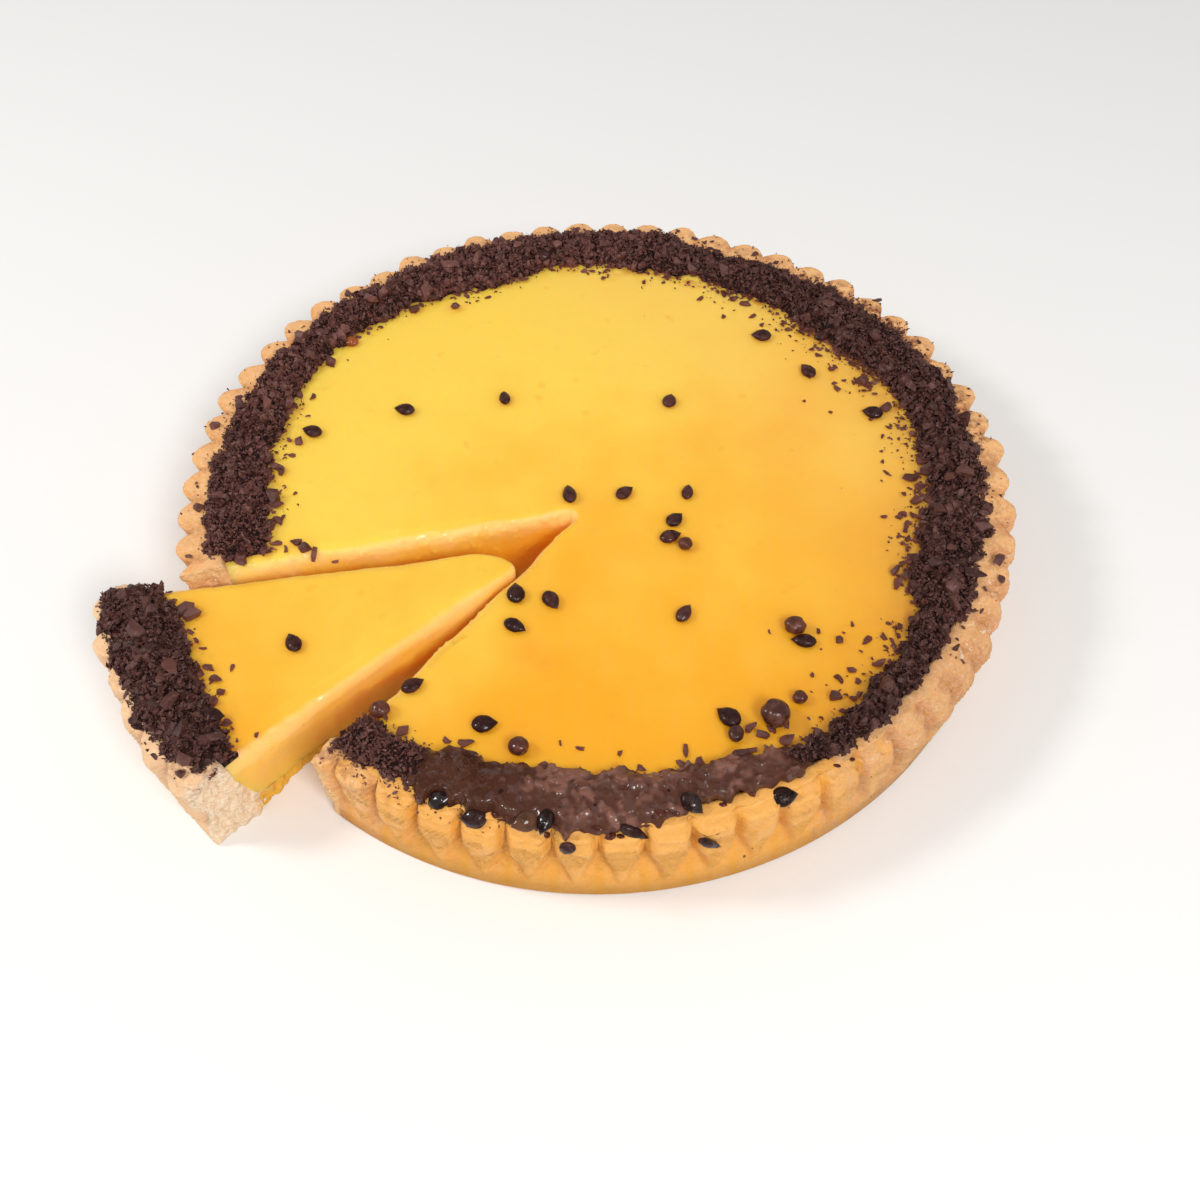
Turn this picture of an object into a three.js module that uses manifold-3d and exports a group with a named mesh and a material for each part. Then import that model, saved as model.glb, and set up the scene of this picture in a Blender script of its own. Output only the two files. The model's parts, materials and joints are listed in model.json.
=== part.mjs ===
// A fluted passion fruit tart, 230 mm across, with one slice drawn part way out of its notch.
// A shortcrust shell holds set custard, and a heap of chocolate shavings runs round the rim.
// Millimetres, +Z up. The origin is the centre of the tart on its flat underside.
import * as THREE from 'three';
import { mergeVertices } from 'three/addons/utils/BufferGeometryUtils.js';
import Module from 'manifold-3d';

const wasm = await Module();
wasm.setup();

// The whole tart
const rimRadius = 116; // out to the flute tips at the rim
const rimHeight = 29.3;
const fluteCount = 62;
const fluteDepth = 4.8;
const footFluting = 0.25; // share of that depth left at the foot
const fadeHeight = 14; // the flutes have their full depth from here up
const flutePhase = 191.3; // degrees, the direction of one flute tip
const gap = 0.3; // between neighbouring pieces

// The shell's outside: heights of its rings, and how far each is rounded in
const shellRings = [
  { height: 0, inset: 1 },
  { height: 1.4, inset: 0 },
  { height: 7, inset: 0 },
  { height: fadeHeight, inset: 0 },
  { height: 26.4, inset: 0 },
  { height: 28.5, inset: 0.3 },
  { height: rimHeight, inset: 1.2 },
];
const stepsPerFlute = 6;
const wornDirection = 325; // the stretch of rim where the flutes are pressed smooth
const wornSpread = 26;
const wornFlutes = 0.65; // share of the flute depth lost there
const wornRounding = 2.6; // how much further the rim's edge is rounded there
const frontDirection = 265; // the stretch where the rim leans out less
const frontFull = 32; // degrees to each side of it with the whole of the lean taken off
const frontNone = 62; // and with none of it
// Radius out to the flute tips at the foot, and how much less the rim leans out at the front
const tartShell = { foot: 110.5, pull: 4.3 };
const drawnShell = { foot: 113, pull: 0 }; // the slice's wall stands more upright

// The shell's inside
const cavityRimRadius = 103.5;
const cavityFloorRadius = 90;
const baseThickness = 3.8;
const custardTop = 27.2;
const roundSegments = 96;

// The notch, and the slice that came out of it
const notchApex = new THREE.Vector2(-5.2, -8.3);
const notchSides = { back: 192, front: 231.5 }; // degrees
const sliceApex = new THREE.Vector2(3.9, -10.5); // in the slice's own tart frame
const sliceSides = { back: 194.2, front: 229.6 };
const sliceTipRadius = 3;
const sliceShift = new THREE.Vector3(-19.1, -13.5, 0);
const sliceTurn = -8; // degrees
// The shell's corner that broke off at the notch's front side, [direction, radius]
const brokenCorner = [[231, 103], [232.6, 107], [233, 110.5], [234.3, 113], [234.8, 122], [228, 122]];

// The chocolate heap: its inner and outer edge at some directions, [degrees, radius]
const heapInner = [
  [0, 91], [20, 93], [40, 90.5], [60, 92.5], [80, 93], [95, 95.5], [110, 90.5], [130, 95.5],
  [150, 96], [170, 92], [185, 90], [240, 93], [265, 92], [280, 93.5], [300, 96], [320, 94.8],
  [330, 92.4], [340, 87], [350, 88.5],
];
const heapOuter = [
  [0, 108.5], [20, 110], [40, 110], [60, 106], [80, 110.5], [95, 111.5], [130, 111.5],
  [150, 110], [170, 109.5], [185, 106], [240, 108], [265, 107], [285, 104.6], [300, 107],
  [320, 104.2], [340, 106.6],
];
const sliceHeapInner = [[194, 94], [214, 94], [226, 97]];
const sliceHeapOuter = [[194, 113.5], [205, 114], [230, 109]];
const heapHeight = 4.2; // above the custard
const heapSegments = 144;
// The heap's section, from its inner edge (across 0) to its outer edge (across 1)
const heapSection = [
  { across: 0, rise: 0.12 },
  { across: 0.1, rise: 0.5 },
  { across: 0.32, rise: 0.92 },
  { across: 0.62, rise: 1 },
  { across: 0.88, rise: 0.86 },
  { across: 1, rise: 0.68 },
];

// One chocolate pearl that lies on the custard by the heap
const pearlRadius = 3.5;
const pearlDirection = 298.5;
const pearlDistance = 89;

const radians = THREE.MathUtils.degToRad;

function directionOf(x, y) {
  return (THREE.MathUtils.radToDeg(Math.atan2(y, x)) + 360) % 360;
}

function fromPolar(direction, radius) {
  const angle = radians(direction);
  return new THREE.Vector2(radius * Math.cos(angle), radius * Math.sin(angle));
}

// Angle between two directions, 0 to 180 degrees
function apart(a, b) {
  return Math.abs(((a - b + 540) % 360) - 180);
}

function worn(direction) {
  return Math.exp(-((apart(direction, wornDirection) / wornSpread) ** 2));
}

// A smooth closed curve through [direction, value] stations
function around(stations, direction) {
  const after = stations.findIndex(([at]) => at > direction);
  const next = after < 0 ? 0 : after;
  const last = (next + stations.length - 1) % stations.length;
  const span = (stations[next][0] - stations[last][0] + 360) % 360 || 360;
  const along = ((direction - stations[last][0] + 360) % 360) / span;
  const blend = (1 - Math.cos(Math.PI * along)) / 2;
  return THREE.MathUtils.lerp(stations[last][1], stations[next][1], blend);
}

// Outer radius of the shell: rounded lobes that meet in sharp creases, on a wall that leans out
function shellRadius(direction, height, inset, { foot, pull }) {
  const lean = pull * (1 - THREE.MathUtils.smoothstep(apart(direction, frontDirection), frontFull, frontNone));
  const wallRadius = THREE.MathUtils.lerp(foot, rimRadius - lean, height / rimHeight);
  const phase = (((direction - flutePhase) * fluteCount) / 360 + fluteCount + 0.5) % 1;
  const fromTip = Math.abs(2 * phase - 1);
  const fade = THREE.MathUtils.lerp(footFluting, 1, THREE.MathUtils.smoothstep(height, 0, fadeHeight));
  const depth = fluteDepth * fade * (1 - wornFlutes * worn(direction));
  const rounding = inset * (1 + (height > rimHeight / 2 ? wornRounding * worn(direction) : 0));
  return wallRadius - depth * fromTip ** 2 - rounding;
}

function solidFrom(geometry) {
  const bare = geometry.clone();
  bare.deleteAttribute('normal');
  bare.deleteAttribute('uv');
  const merged = mergeVertices(bare, 1e-4);
  return new wasm.Manifold(
    new wasm.Mesh({
      numProp: 3,
      vertProperties: new Float32Array(merged.attributes.position.array),
      triVerts: new Uint32Array(merged.index.array),
    }),
  );
}

function geometryFrom(solid) {
  const mesh = solid.getMesh();
  const geometry = new THREE.BufferGeometry();
  geometry.setAttribute('position', new THREE.BufferAttribute(mesh.vertProperties, 3));
  geometry.setIndex(new THREE.BufferAttribute(mesh.triVerts, 1));
  geometry.computeVertexNormals();
  return geometry;
}

// Moves every point of a geometry to shape(x, y, z)
function reshape(geometry, shape) {
  const points = geometry.attributes.position;
  for (let i = 0; i < points.count; i += 1) {
    points.setXYZ(i, ...shape(points.getX(i), points.getY(i), points.getZ(i)));
  }
  return geometry;
}

// A solid of revolution about Z, from [radius, height] points that start and end on the axis
// or close on themselves
function turned(profile, segments) {
  const points = profile.map(([radius, height]) => new THREE.Vector2(radius, height));
  return new THREE.LatheGeometry(points, segments).rotateX(Math.PI / 2);
}

function shellBlank(form) {
  const outline = new THREE.Shape();
  const steps = fluteCount * stepsPerFlute;
  for (let i = 0; i < steps; i += 1) {
    const direction = flutePhase + (i * 360) / steps;
    const tip = fromPolar(direction, shellRadius(direction, rimHeight, 0, form));
    if (i === 0) outline.moveTo(tip.x, tip.y);
    else outline.lineTo(tip.x, tip.y);
  }
  const lastRing = shellRings.length - 1;
  const blank = new THREE.ExtrudeGeometry(outline, {
    depth: lastRing,
    steps: lastRing,
    bevelEnabled: false,
  });
  return reshape(blank, (x, y, z) => {
    const ring = shellRings[Math.round(z)];
    const angle = Math.atan2(y, x);
    const radius = shellRadius(directionOf(x, y), ring.height, ring.inset, form);
    return [radius * Math.cos(angle), radius * Math.sin(angle), ring.height];
  });
}

// The inside of the shell, or the custard that fills it with clearance all round
function cavity(top, clearance) {
  const wall = [
    [cavityFloorRadius, baseThickness],
    [cavityFloorRadius + 5, baseThickness + 1.6],
    [cavityFloorRadius + 8.5, baseThickness + 5],
    [cavityRimRadius - 1.4, rimHeight - 1.1],
    [cavityRimRadius + 0.6, rimHeight + 0.4],
  ];
  const profile = [[0, baseThickness + clearance]];
  for (const [radius, height] of wall) {
    if (height < top) profile.push([radius - clearance, height + clearance]);
  }
  const [lowRadius, lowHeight] = profile[profile.length - 1];
  const [highRadius, highHeight] = wall[wall.length - 2];
  const slope = (highRadius - clearance - lowRadius) / (highHeight - lowHeight);
  profile.push([Math.max(lowRadius, lowRadius + slope * (top - lowHeight)), top]);
  profile.push([0, top]);
  return turned(profile, roundSegments);
}

// A wedge from its apex outwards between two directions, its tip rounded if asked
function wedge(apex, sides, tipRadius) {
  const reach = rimRadius * 1.5;
  const back = radians(sides.back);
  const front = radians(sides.front);
  const halfAngle = (front - back) / 2;
  const middle = (front + back) / 2;
  const outline = new THREE.Shape();
  const corner = (angle, distance) =>
    new THREE.Vector2(Math.cos(angle), Math.sin(angle)).multiplyScalar(distance).add(apex);
  const backCorner = corner(back, reach);
  const frontCorner = corner(front, reach);
  outline.moveTo(backCorner.x, backCorner.y);
  outline.lineTo(frontCorner.x, frontCorner.y);
  if (tipRadius > 0) {
    const centre = corner(middle, tipRadius / Math.sin(halfAngle));
    const quarter = Math.PI / 2;
    outline.absarc(centre.x, centre.y, tipRadius, front + quarter, back - quarter + 2 * Math.PI, false);
  } else {
    outline.lineTo(apex.x, apex.y);
  }
  outline.closePath();
  const blank = new THREE.ExtrudeGeometry(outline, {
    depth: 3 * rimHeight,
    bevelEnabled: false,
    curveSegments: 8,
  });
  return solidFrom(blank.translate(0, 0, -rimHeight));
}

function brokenAway() {
  const outline = new THREE.Shape(brokenCorner.map(([direction, radius]) => fromPolar(direction, radius)));
  const blank = new THREE.ExtrudeGeometry(outline, { depth: 3 * rimHeight, bevelEnabled: false });
  return solidFrom(blank.translate(0, 0, -rimHeight));
}

// The shavings' heap: a ring between two uneven edges, with a domed and lumpy top
function heap(inner, outer) {
  const underside = custardTop + gap;
  const profile = [[0, underside], [1, underside]];
  for (const { across, rise } of heapSection.toReversed()) {
    profile.push([across, custardTop + rise * heapHeight]);
  }
  profile.push([0, underside]);
  const nearRadius = 10; // the ring is turned one unit wide at this radius, then spread
  const ring = turned(profile.map(([across, z]) => [nearRadius + across, z]), heapSegments);
  return solidFrom(
    reshape(ring, (x, y, z) => {
      const direction = directionOf(x, y);
      const angle = radians(direction);
      const across = Math.hypot(x, y) - nearRadius;
      const ragged = 0.9 * Math.sin(23 * angle) + 0.6 * Math.sin(41 * angle + 1);
      const near = around(inner, direction) + ragged;
      const far = around(outer, direction) - 0.6 * ragged;
      const radius = THREE.MathUtils.lerp(near, far, across);
      const lump = 0.35 * Math.sin(31 * angle + 9 * across) + 0.25 * Math.sin(57 * angle);
      const height = z > underside + 1 ? z + lump : z;
      return [radius * Math.cos(angle), radius * Math.sin(angle), height];
    }),
  );
}

// What the heap keeps clear of: the shell's rim
function rimClearance() {
  const low = custardTop - 5;
  const high = rimHeight + gap;
  const near = cavityRimRadius - 2.4;
  const far = rimRadius + 5;
  return solidFrom(turned([[near, low], [far, low], [far, high], [near, high], [near, low]], roundSegments));
}

const inside = solidFrom(cavity(rimHeight + 2, 0));
const shell = solidFrom(shellBlank(tartShell)).subtract(inside);
const sliceShell = solidFrom(shellBlank(drawnShell)).subtract(inside);
const filling = solidFrom(cavity(custardTop, gap));
const rim = rimClearance();
const ringHeap = heap(heapInner, heapOuter).subtract(rim);
const sliceHeap = heap(sliceHeapInner, sliceHeapOuter).subtract(rim);
const notch = wedge(notchApex, notchSides, 0);
const slice = wedge(sliceApex, sliceSides, sliceTipRadius);

const crustMaterial = new THREE.MeshStandardMaterial({ color: 0xe3b078, roughness: 0.8, metalness: 0 });
const custardMaterial = new THREE.MeshStandardMaterial({ color: 0xfcc548, roughness: 0.25, metalness: 0 });
const chocolateMaterial = new THREE.MeshStandardMaterial({ color: 0x4b322e, roughness: 0.6, metalness: 0 });

function named(name, solid, material) {
  const mesh = new THREE.Mesh(geometryFrom(solid), material);
  mesh.name = name;
  return mesh;
}

const tart = new THREE.Group();
tart.add(named('crust', shell.subtract(notch).subtract(brokenAway()), crustMaterial));
tart.add(named('custard', filling.subtract(notch), custardMaterial));
tart.add(named('chocolate_heap', ringHeap.subtract(notch), chocolateMaterial));

const pearl = new THREE.Mesh(new THREE.SphereGeometry(pearlRadius, 16, 10), chocolateMaterial);
const pearlPlace = fromPolar(pearlDirection, pearlDistance);
pearl.name = 'chocolate_pearl';
pearl.position.set(pearlPlace.x, pearlPlace.y, custardTop + gap + pearlRadius);
tart.add(pearl);

const drawnSlice = new THREE.Group();
drawnSlice.position.copy(sliceShift);
drawnSlice.rotation.z = radians(sliceTurn);
drawnSlice.add(named('slice_crust', sliceShell.intersect(slice), crustMaterial));
drawnSlice.add(named('slice_custard', filling.intersect(slice), custardMaterial));
drawnSlice.add(named('slice_chocolate_heap', sliceHeap.intersect(slice), chocolateMaterial));
tart.add(drawnSlice);

export default tart;
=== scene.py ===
import bmesh
import bpy
import json
import math
import random
from math import radians
from mathutils import Matrix, Vector, noise
from mathutils.bvhtree import BVHTree

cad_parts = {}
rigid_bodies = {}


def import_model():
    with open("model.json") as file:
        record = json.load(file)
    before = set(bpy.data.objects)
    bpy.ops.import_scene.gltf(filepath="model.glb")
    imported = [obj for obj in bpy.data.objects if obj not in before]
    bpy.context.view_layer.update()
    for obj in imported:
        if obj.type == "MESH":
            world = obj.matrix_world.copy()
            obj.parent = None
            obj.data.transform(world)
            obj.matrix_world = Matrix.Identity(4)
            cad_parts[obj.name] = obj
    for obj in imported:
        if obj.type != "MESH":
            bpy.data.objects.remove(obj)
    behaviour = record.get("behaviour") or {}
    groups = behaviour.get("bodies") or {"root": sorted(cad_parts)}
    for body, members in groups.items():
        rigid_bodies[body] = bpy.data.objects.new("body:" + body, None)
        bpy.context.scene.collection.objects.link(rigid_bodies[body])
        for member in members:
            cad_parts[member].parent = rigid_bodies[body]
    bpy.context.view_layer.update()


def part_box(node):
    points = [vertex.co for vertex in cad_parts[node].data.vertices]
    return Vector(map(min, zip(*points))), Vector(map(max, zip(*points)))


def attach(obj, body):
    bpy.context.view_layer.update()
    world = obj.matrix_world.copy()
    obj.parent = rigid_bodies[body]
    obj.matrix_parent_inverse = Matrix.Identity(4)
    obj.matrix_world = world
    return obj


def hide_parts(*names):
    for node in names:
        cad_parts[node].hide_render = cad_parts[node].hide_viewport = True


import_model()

mm = 0.001
scene = bpy.context.scene


def polar(direction, radius, height=0.0):
    return Vector((radius * math.cos(radians(direction)), radius * math.sin(radians(direction)), height))


def directionOf(x, y):
    return math.degrees(math.atan2(y, x)) % 360


def apart(a, b):
    return abs((a - b + 180) % 360 - 180)


def mix(a, b, t):
    return a + (b - a) * t


def smooth(low, high, value):
    t = min(1.0, max(0.0, (value - low) / (high - low)))
    return t * t * (3 - 2 * t)


def spread(low, high, steps):
    return [mix(low, high, i / steps) for i in range(steps + 1)]


# a smooth closed curve through {direction: value}
def around(stations, direction):
    direction %= 360
    keys = sorted(stations)
    nextKey = next((k for k in keys if k > direction), keys[0])
    lastKey = keys[keys.index(nextKey) - 1]
    span = (nextKey - lastKey) % 360 or 360
    along = ((direction - lastKey) % 360) / span
    return mix(stations[lastKey], stations[nextKey], (1 - math.cos(math.pi * along)) / 2)


def makeObject(name, verts, faces, smoothShade=True, collection=None):
    mesh = bpy.data.meshes.new(name)
    mesh.from_pydata(verts, [], faces)
    mesh.validate()
    if smoothShade:
        mesh.shade_smooth()
    piece = bpy.data.objects.new(name, mesh)
    (collection or scene.collection).objects.link(piece)
    return piece


def recalcNormals(piece, mergeDistance=0.0, splitFaces=False):
    work = bmesh.new()
    work.from_mesh(piece.data)
    if mergeDistance:
        bmesh.ops.remove_doubles(work, verts=work.verts, dist=mergeDistance)
    if splitFaces:
        bmesh.ops.triangulate(work, faces=[face for face in work.faces if len(face.verts) > 4])
    bmesh.ops.recalc_face_normals(work, faces=work.faces)
    work.to_mesh(piece.data)
    work.free()


# turns the evaluated piece into a plain mesh and drops its modifiers
def bakeModifiers(piece):
    graph = bpy.context.evaluated_depsgraph_get()
    baked = bpy.data.meshes.new_from_object(piece.evaluated_get(graph), depsgraph=graph)
    old = piece.data
    piece.modifiers.clear()
    piece.data = baked
    baked.name = piece.name
    bpy.data.meshes.remove(old)
    return piece


# nodes go into whichever tree was started last
current = {"tree": None}


# A node's output that can be reckoned with: sums and products of it become math nodes
class Field:
    def __init__(self, socket):
        self.socket = socket

    def other(self, name):
        return Field(self.socket.node.outputs[name])

    def __add__(self, value):
        return calc("ADD", self, value)

    def __sub__(self, value):
        return calc("SUBTRACT", self, value)

    def __rsub__(self, value):
        return calc("SUBTRACT", value, self)

    def __mul__(self, value):
        return calc("MULTIPLY", self, value)

    def __truediv__(self, value):
        return calc("DIVIDE", self, value)

    def __pow__(self, value):
        return calc("POWER", self, value)

    __radd__ = __add__
    __rmul__ = __mul__


def fillSockets(node, values):
    for key, value in values.items():
        if isinstance(value, Field):
            current["tree"].links.new(value.socket, node.inputs[key])
        else:
            node.inputs[key].default_value = value


def addNode(kind, inputs=None, output=0, **settings):
    node = current["tree"].nodes.new(kind)
    for key, value in settings.items():
        setattr(node, key, value)
    fillSockets(node, inputs or {})
    return Field(node.outputs[output])


def calc(operation, *values):
    return addNode("ShaderNodeMath", dict(enumerate(values)), operation=operation)


def vecCalc(operation, *values):
    output = "Value" if operation in ("LENGTH", "DISTANCE") else "Vector"
    return addNode("ShaderNodeVectorMath", dict(enumerate(values)), output, operation=operation)


def scaled(vector, amount):
    return addNode("ShaderNodeVectorMath", {0: vector, "Scale": amount}, operation="SCALE")


# value carried from [low, high] to [toLow, toHigh], held at the ends
def ramp(value, low, high, toLow=0.0, toHigh=1.0, soft=True):
    limits = {"Value": value, "From Min": low, "From Max": high, "To Min": toLow, "To Max": toHigh}
    return addNode("ShaderNodeMapRange", limits, interpolation_type="SMOOTHSTEP" if soft else "LINEAR")


def noiseAt(place, size, detail=2.0, roughness=0.5):
    return addNode("ShaderNodeTexNoise",
                   {"Vector": place, "Scale": 1 / size, "Detail": detail, "Roughness": roughness})


def cellsAt(place, size):
    return addNode("ShaderNodeTexVoronoi", {"Vector": place, "Scale": 1 / size}, "Distance")


def xyz(vector):
    parts = addNode("ShaderNodeSeparateXYZ", {0: vector})
    return [parts.other(axis) for axis in "XYZ"]


def directionAt(x, y):
    return calc("DEGREES", calc("ARCTAN2", y, x))


def radiusAt(x, y):
    return calc("SQRT", x * x + y * y)


# degrees between two directions
def awayFrom(direction, middle):
    return calc("ABSOLUTE", calc("WRAP", direction - middle, 180.0, -180.0))


def position():
    return addNode("GeometryNodeInputPosition")


def randomAt(seed):
    return addNode("FunctionNodeRandomValue", {"Seed": seed}, 1, data_type="FLOAT")


def storeField(geometry, name, value, domain="POINT"):
    return addNode("GeometryNodeStoreNamedAttribute", {"Geometry": geometry, "Name": name, "Value": value},
                   data_type="FLOAT", domain=domain)


def pushOut(geometry, amount):
    normal = addNode("GeometryNodeInputNormal")
    return addNode("GeometryNodeSetPosition", {"Geometry": geometry, "Offset": scaled(normal, amount)})


# one of the given shapes on each point
def shapesOn(points, given, rotation, size):
    kinds = addNode("GeometryNodeCollectionInfo", {"Collection": given("Shapes"), "Separate Children": True,
                                                   "Reset Children": True})
    return addNode("GeometryNodeInstanceOnPoints", {"Points": points, "Instance": kinds, "Pick Instance": True,
                                                    "Rotation": rotation, "Scale": size})


# A Geometry Nodes tree with the named inputs between its geometry and its finish. Gives a lookup of them.
def newTree(name, defaults):
    kinds = {"Geometry": "Geometry", "Shapes": "Collection", "Seed": "Int", "Material": "Material"}
    tree = bpy.data.node_groups.new(name, "GeometryNodeTree")
    for label in ("Geometry", *defaults, "Material"):
        socket = tree.interface.new_socket(label, in_out="INPUT",
                                           socket_type="NodeSocket" + kinds.get(label, "Float"))
        if defaults.get(label) is not None:
            socket.default_value = defaults[label]
    tree.interface.new_socket("Geometry", in_out="OUTPUT", socket_type="NodeSocketGeometry")
    current["tree"] = tree
    start = tree.nodes.new("NodeGroupInput")
    return lambda label: Field(start.outputs[label])


# every tree ends in real geometry with its finish on
def finishTree(geometry, given):
    real = addNode("GeometryNodeRealizeInstances", {"Geometry": geometry})
    painted = addNode("GeometryNodeSetMaterial", {"Geometry": real, "Material": given("Material")})
    fillSockets(current["tree"].nodes.new("NodeGroupOutput"), {0: painted})
    return current["tree"]


def addModifier(piece, tree, values):
    modifier = piece.modifiers.new(tree.name, "NODES")
    modifier.node_group = tree
    for item in tree.interface.items_tree:
        if item.item_type == "SOCKET" and item.in_out == "INPUT" and item.name in values:
            modifier[item.identifier] = values[item.name]
    return modifier


def newMaterial(name):
    material = bpy.data.materials.new(name)
    material.use_nodes = True
    current["tree"] = material.node_tree
    return material, material.node_tree.nodes["Principled BSDF"], addNode("ShaderNodeTexCoord", output="Object")


def attribute(name):
    return addNode("ShaderNodeAttribute", output="Fac", attribute_name=name)


def blendColor(share, a, b):
    return addNode("ShaderNodeMix", {0: share, 6: a, 7: b}, 2, data_type="RGBA")


# lays named colours over a colour, one after the other, each with its share
def paintOver(color, palette, coats):
    for share, name in coats:
        color = blendColor(share, color, palette[name])
    return color


def bumpFrom(height, distance, strength):
    return addNode("ShaderNodeBump", {"Height": height, "Distance": distance, "Strength": strength})


# the eye: above and in front of the tart, a little tilted
camera = {
    "lookDown": 52.9,        # degrees below level
    "distance": 380.4 * mm,  # along the view to the middle of the tart
    "roll": -0.65,
    "aimRight": -0.0016,     # where the tart's middle lies, as tangents off the view's centre
    "aimUp": 0.0408,
    "lens": 38.55,
    "sensor": 36.0,
}


def makeCamera():
    forward = Vector((0, math.cos(radians(camera["lookDown"])), -math.sin(radians(camera["lookDown"]))))
    right = Matrix.Rotation(-radians(camera["roll"]), 3, forward) @ Vector((1, 0, 0))
    upward = right.cross(forward)
    toTart = forward + right * camera["aimRight"] + upward * camera["aimUp"]
    data = bpy.data.cameras.new("camera")
    data.lens = camera["lens"]
    data.sensor_width = camera["sensor"]
    data.clip_start = 0.01
    data.clip_end = 20
    eye = bpy.data.objects.new("camera", data)
    axes = Matrix((right, upward, -forward)).transposed().to_4x4()
    eye.matrix_world = Matrix.Translation(-toTart * camera["distance"]) @ axes
    scene.collection.objects.link(eye)
    scene.camera = eye


studio = {
    "floorSize": 8.0,
    "floorColor": (0.86, 0.858, 0.855, 1),
    "worldColor": (1.0, 0.99, 0.975, 1),
    "worldStrength": 0.45,
    "lights": [
        # name, place, size, watts, colour
        ("key", (0.45, -0.85, 0.95), 0.46, 9.6, (1.0, 0.985, 0.96)),
        ("leftSoft", (-0.80, -0.02, 0.76), 0.24, 4.1, (1.0, 0.98, 0.95)),
        ("spark", (-0.12, -0.62, 1.25), 0.10, 1.8, (1.0, 1.0, 1.0)),
    ],
}


def makeStudio():
    half = studio["floorSize"] / 2
    floor = makeObject("floor", [(-half, -half, 0), (half, -half, 0), (half, half, 0), (-half, half, 0)],
                       [(0, 1, 2, 3)])
    paint, surface, _ = newMaterial("paleFloor")
    fillSockets(surface, {"Base Color": studio["floorColor"], "Roughness": 0.9, "Specular IOR Level": 0.15})
    floor.data.materials.append(paint)
    world = bpy.data.worlds.new("studio")
    world.use_nodes = True
    sky = world.node_tree.nodes["Background"]
    sky.inputs["Color"].default_value = studio["worldColor"]
    sky.inputs["Strength"].default_value = studio["worldStrength"]
    scene.world = world
    for name, place, size, watts, color in studio["lights"]:
        data = bpy.data.lights.new(name, "AREA")
        data.shape = "DISK"
        data.size = size
        data.energy = watts
        data.color = color
        lamp = bpy.data.objects.new(name, data)
        lamp.location = place
        lamp.rotation_euler = (-Vector(place)).to_track_quat("-Z", "Y").to_euler()
        scene.collection.objects.link(lamp)
    scene.view_settings.view_transform = "Standard"


makeCamera()
makeStudio()
print("camera and studio ready")


# sizes that the pieces share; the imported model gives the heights
tart = {
    "rimRadius": 116 * mm,
    "height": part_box("crust")[1].z,
    "custardTop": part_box("custard")[1].z,
    "cavityRim": 103 * mm,
    "cavityFloor": 90 * mm,
    "base": 3.8 * mm,
    "slicePlace": Matrix.Translation((-19.1 * mm, -13.5 * mm, 0)) @ Matrix.Rotation(radians(-8), 4, "Z"),
}

# Where the knife went. The tart keeps what is outside the notch's wedge, the slice what is inside its own.
# tip: how far from the apex each side starts to turn, and the turn's handles, in mm
knives = {
    "notch": {"apex": Vector((-6.3 * mm, -9.7 * mm)), "sides": (192.0, 231.5), "tip": (2.0, 2.0, 1.1, 1.1),
              "sign": 1, "keep": "DIFFERENCE"},
    "slice": {"apex": Vector((9.0 * mm, -4.5 * mm)), "sides": (196.0, 229.6), "tip": (27.0, 16.8, 9.0, 5.5),
              "sign": -1, "keep": "INTERSECT"},
}


# Sweeps a closed section of (radius, height) points round the Z axis. A part ring gets flat ends.
def sweep(name, section, directions, ring):
    rows = len(section(directions[0]))
    count = len(directions)
    verts = [polar(direction, radius, height)
             for direction in directions for radius, height in section(direction)]
    faces = []
    for i in range(count if ring else count - 1):
        here = i * rows
        there = ((i + 1) % count) * rows
        for j in range(rows):
            k = (j + 1) % rows
            faces.append((here + j, there + j, there + k, here + k))
    if not ring:
        faces.append(tuple(range(rows)))
        faces.append(tuple((count - 1) * rows + j for j in reversed(range(rows))))
    piece = makeObject(name, verts, faces)
    recalcNormals(piece, 0.001 * mm)
    return piece


def sweptPiece(name, section, directions, ring, tree, inputs):
    piece = sweep(name, section, directions, ring)
    addModifier(piece, tree, inputs)
    return bakeModifiers(piece)


# how the knife cut: deep crumbs where it broke pastry, long soft waves in the custard
cut = {
    "step": 0.45 * mm,
    "reach": 135 * mm,
    "low": -3 * mm,
    "high": 40 * mm,
    "crumb": 0.85 * mm,
    "drag": 0.55 * mm,
    "edgeRound": 4.5 * mm,
    "under": 4.2 * mm,       # how far the slice's front face was dragged in at its foot
}


# The knife's path: in along one side, round the tip, out along the other, as (point, outward normal)
def knifePath(knife):
    apex = knife["apex"]
    backStart, frontStart, backHandle, frontHandle = (number * mm for number in knife["tip"])
    back, front = (Vector((math.cos(radians(side)), math.sin(radians(side)))) for side in knife["sides"])
    steps = int(cut["reach"] / cut["step"])
    points = [apex + back * along for along in spread(cut["reach"], backStart, steps)]
    a, d = apex + back * backStart, apex + front * frontStart
    b, c = a - back * backHandle, d - front * frontHandle
    turnSteps = max(3, int((d - a).length * 1.3 / cut["step"]))
    for i in range(1, turnSteps):
        t = i / turnSteps
        points.append(a * (1 - t) ** 3 + b * 3 * t * (1 - t) ** 2 + c * 3 * t * t * (1 - t) + d * t ** 3)
    points += [apex + front * along for along in spread(frontStart, cut["reach"], steps)]
    path = []
    for i, point in enumerate(points):
        ahead = (points[min(i + 1, len(points) - 1)] - points[max(i - 1, 0)]).normalized()
        path.append((point, Vector((-ahead.y, ahead.x))))
    return path


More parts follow.
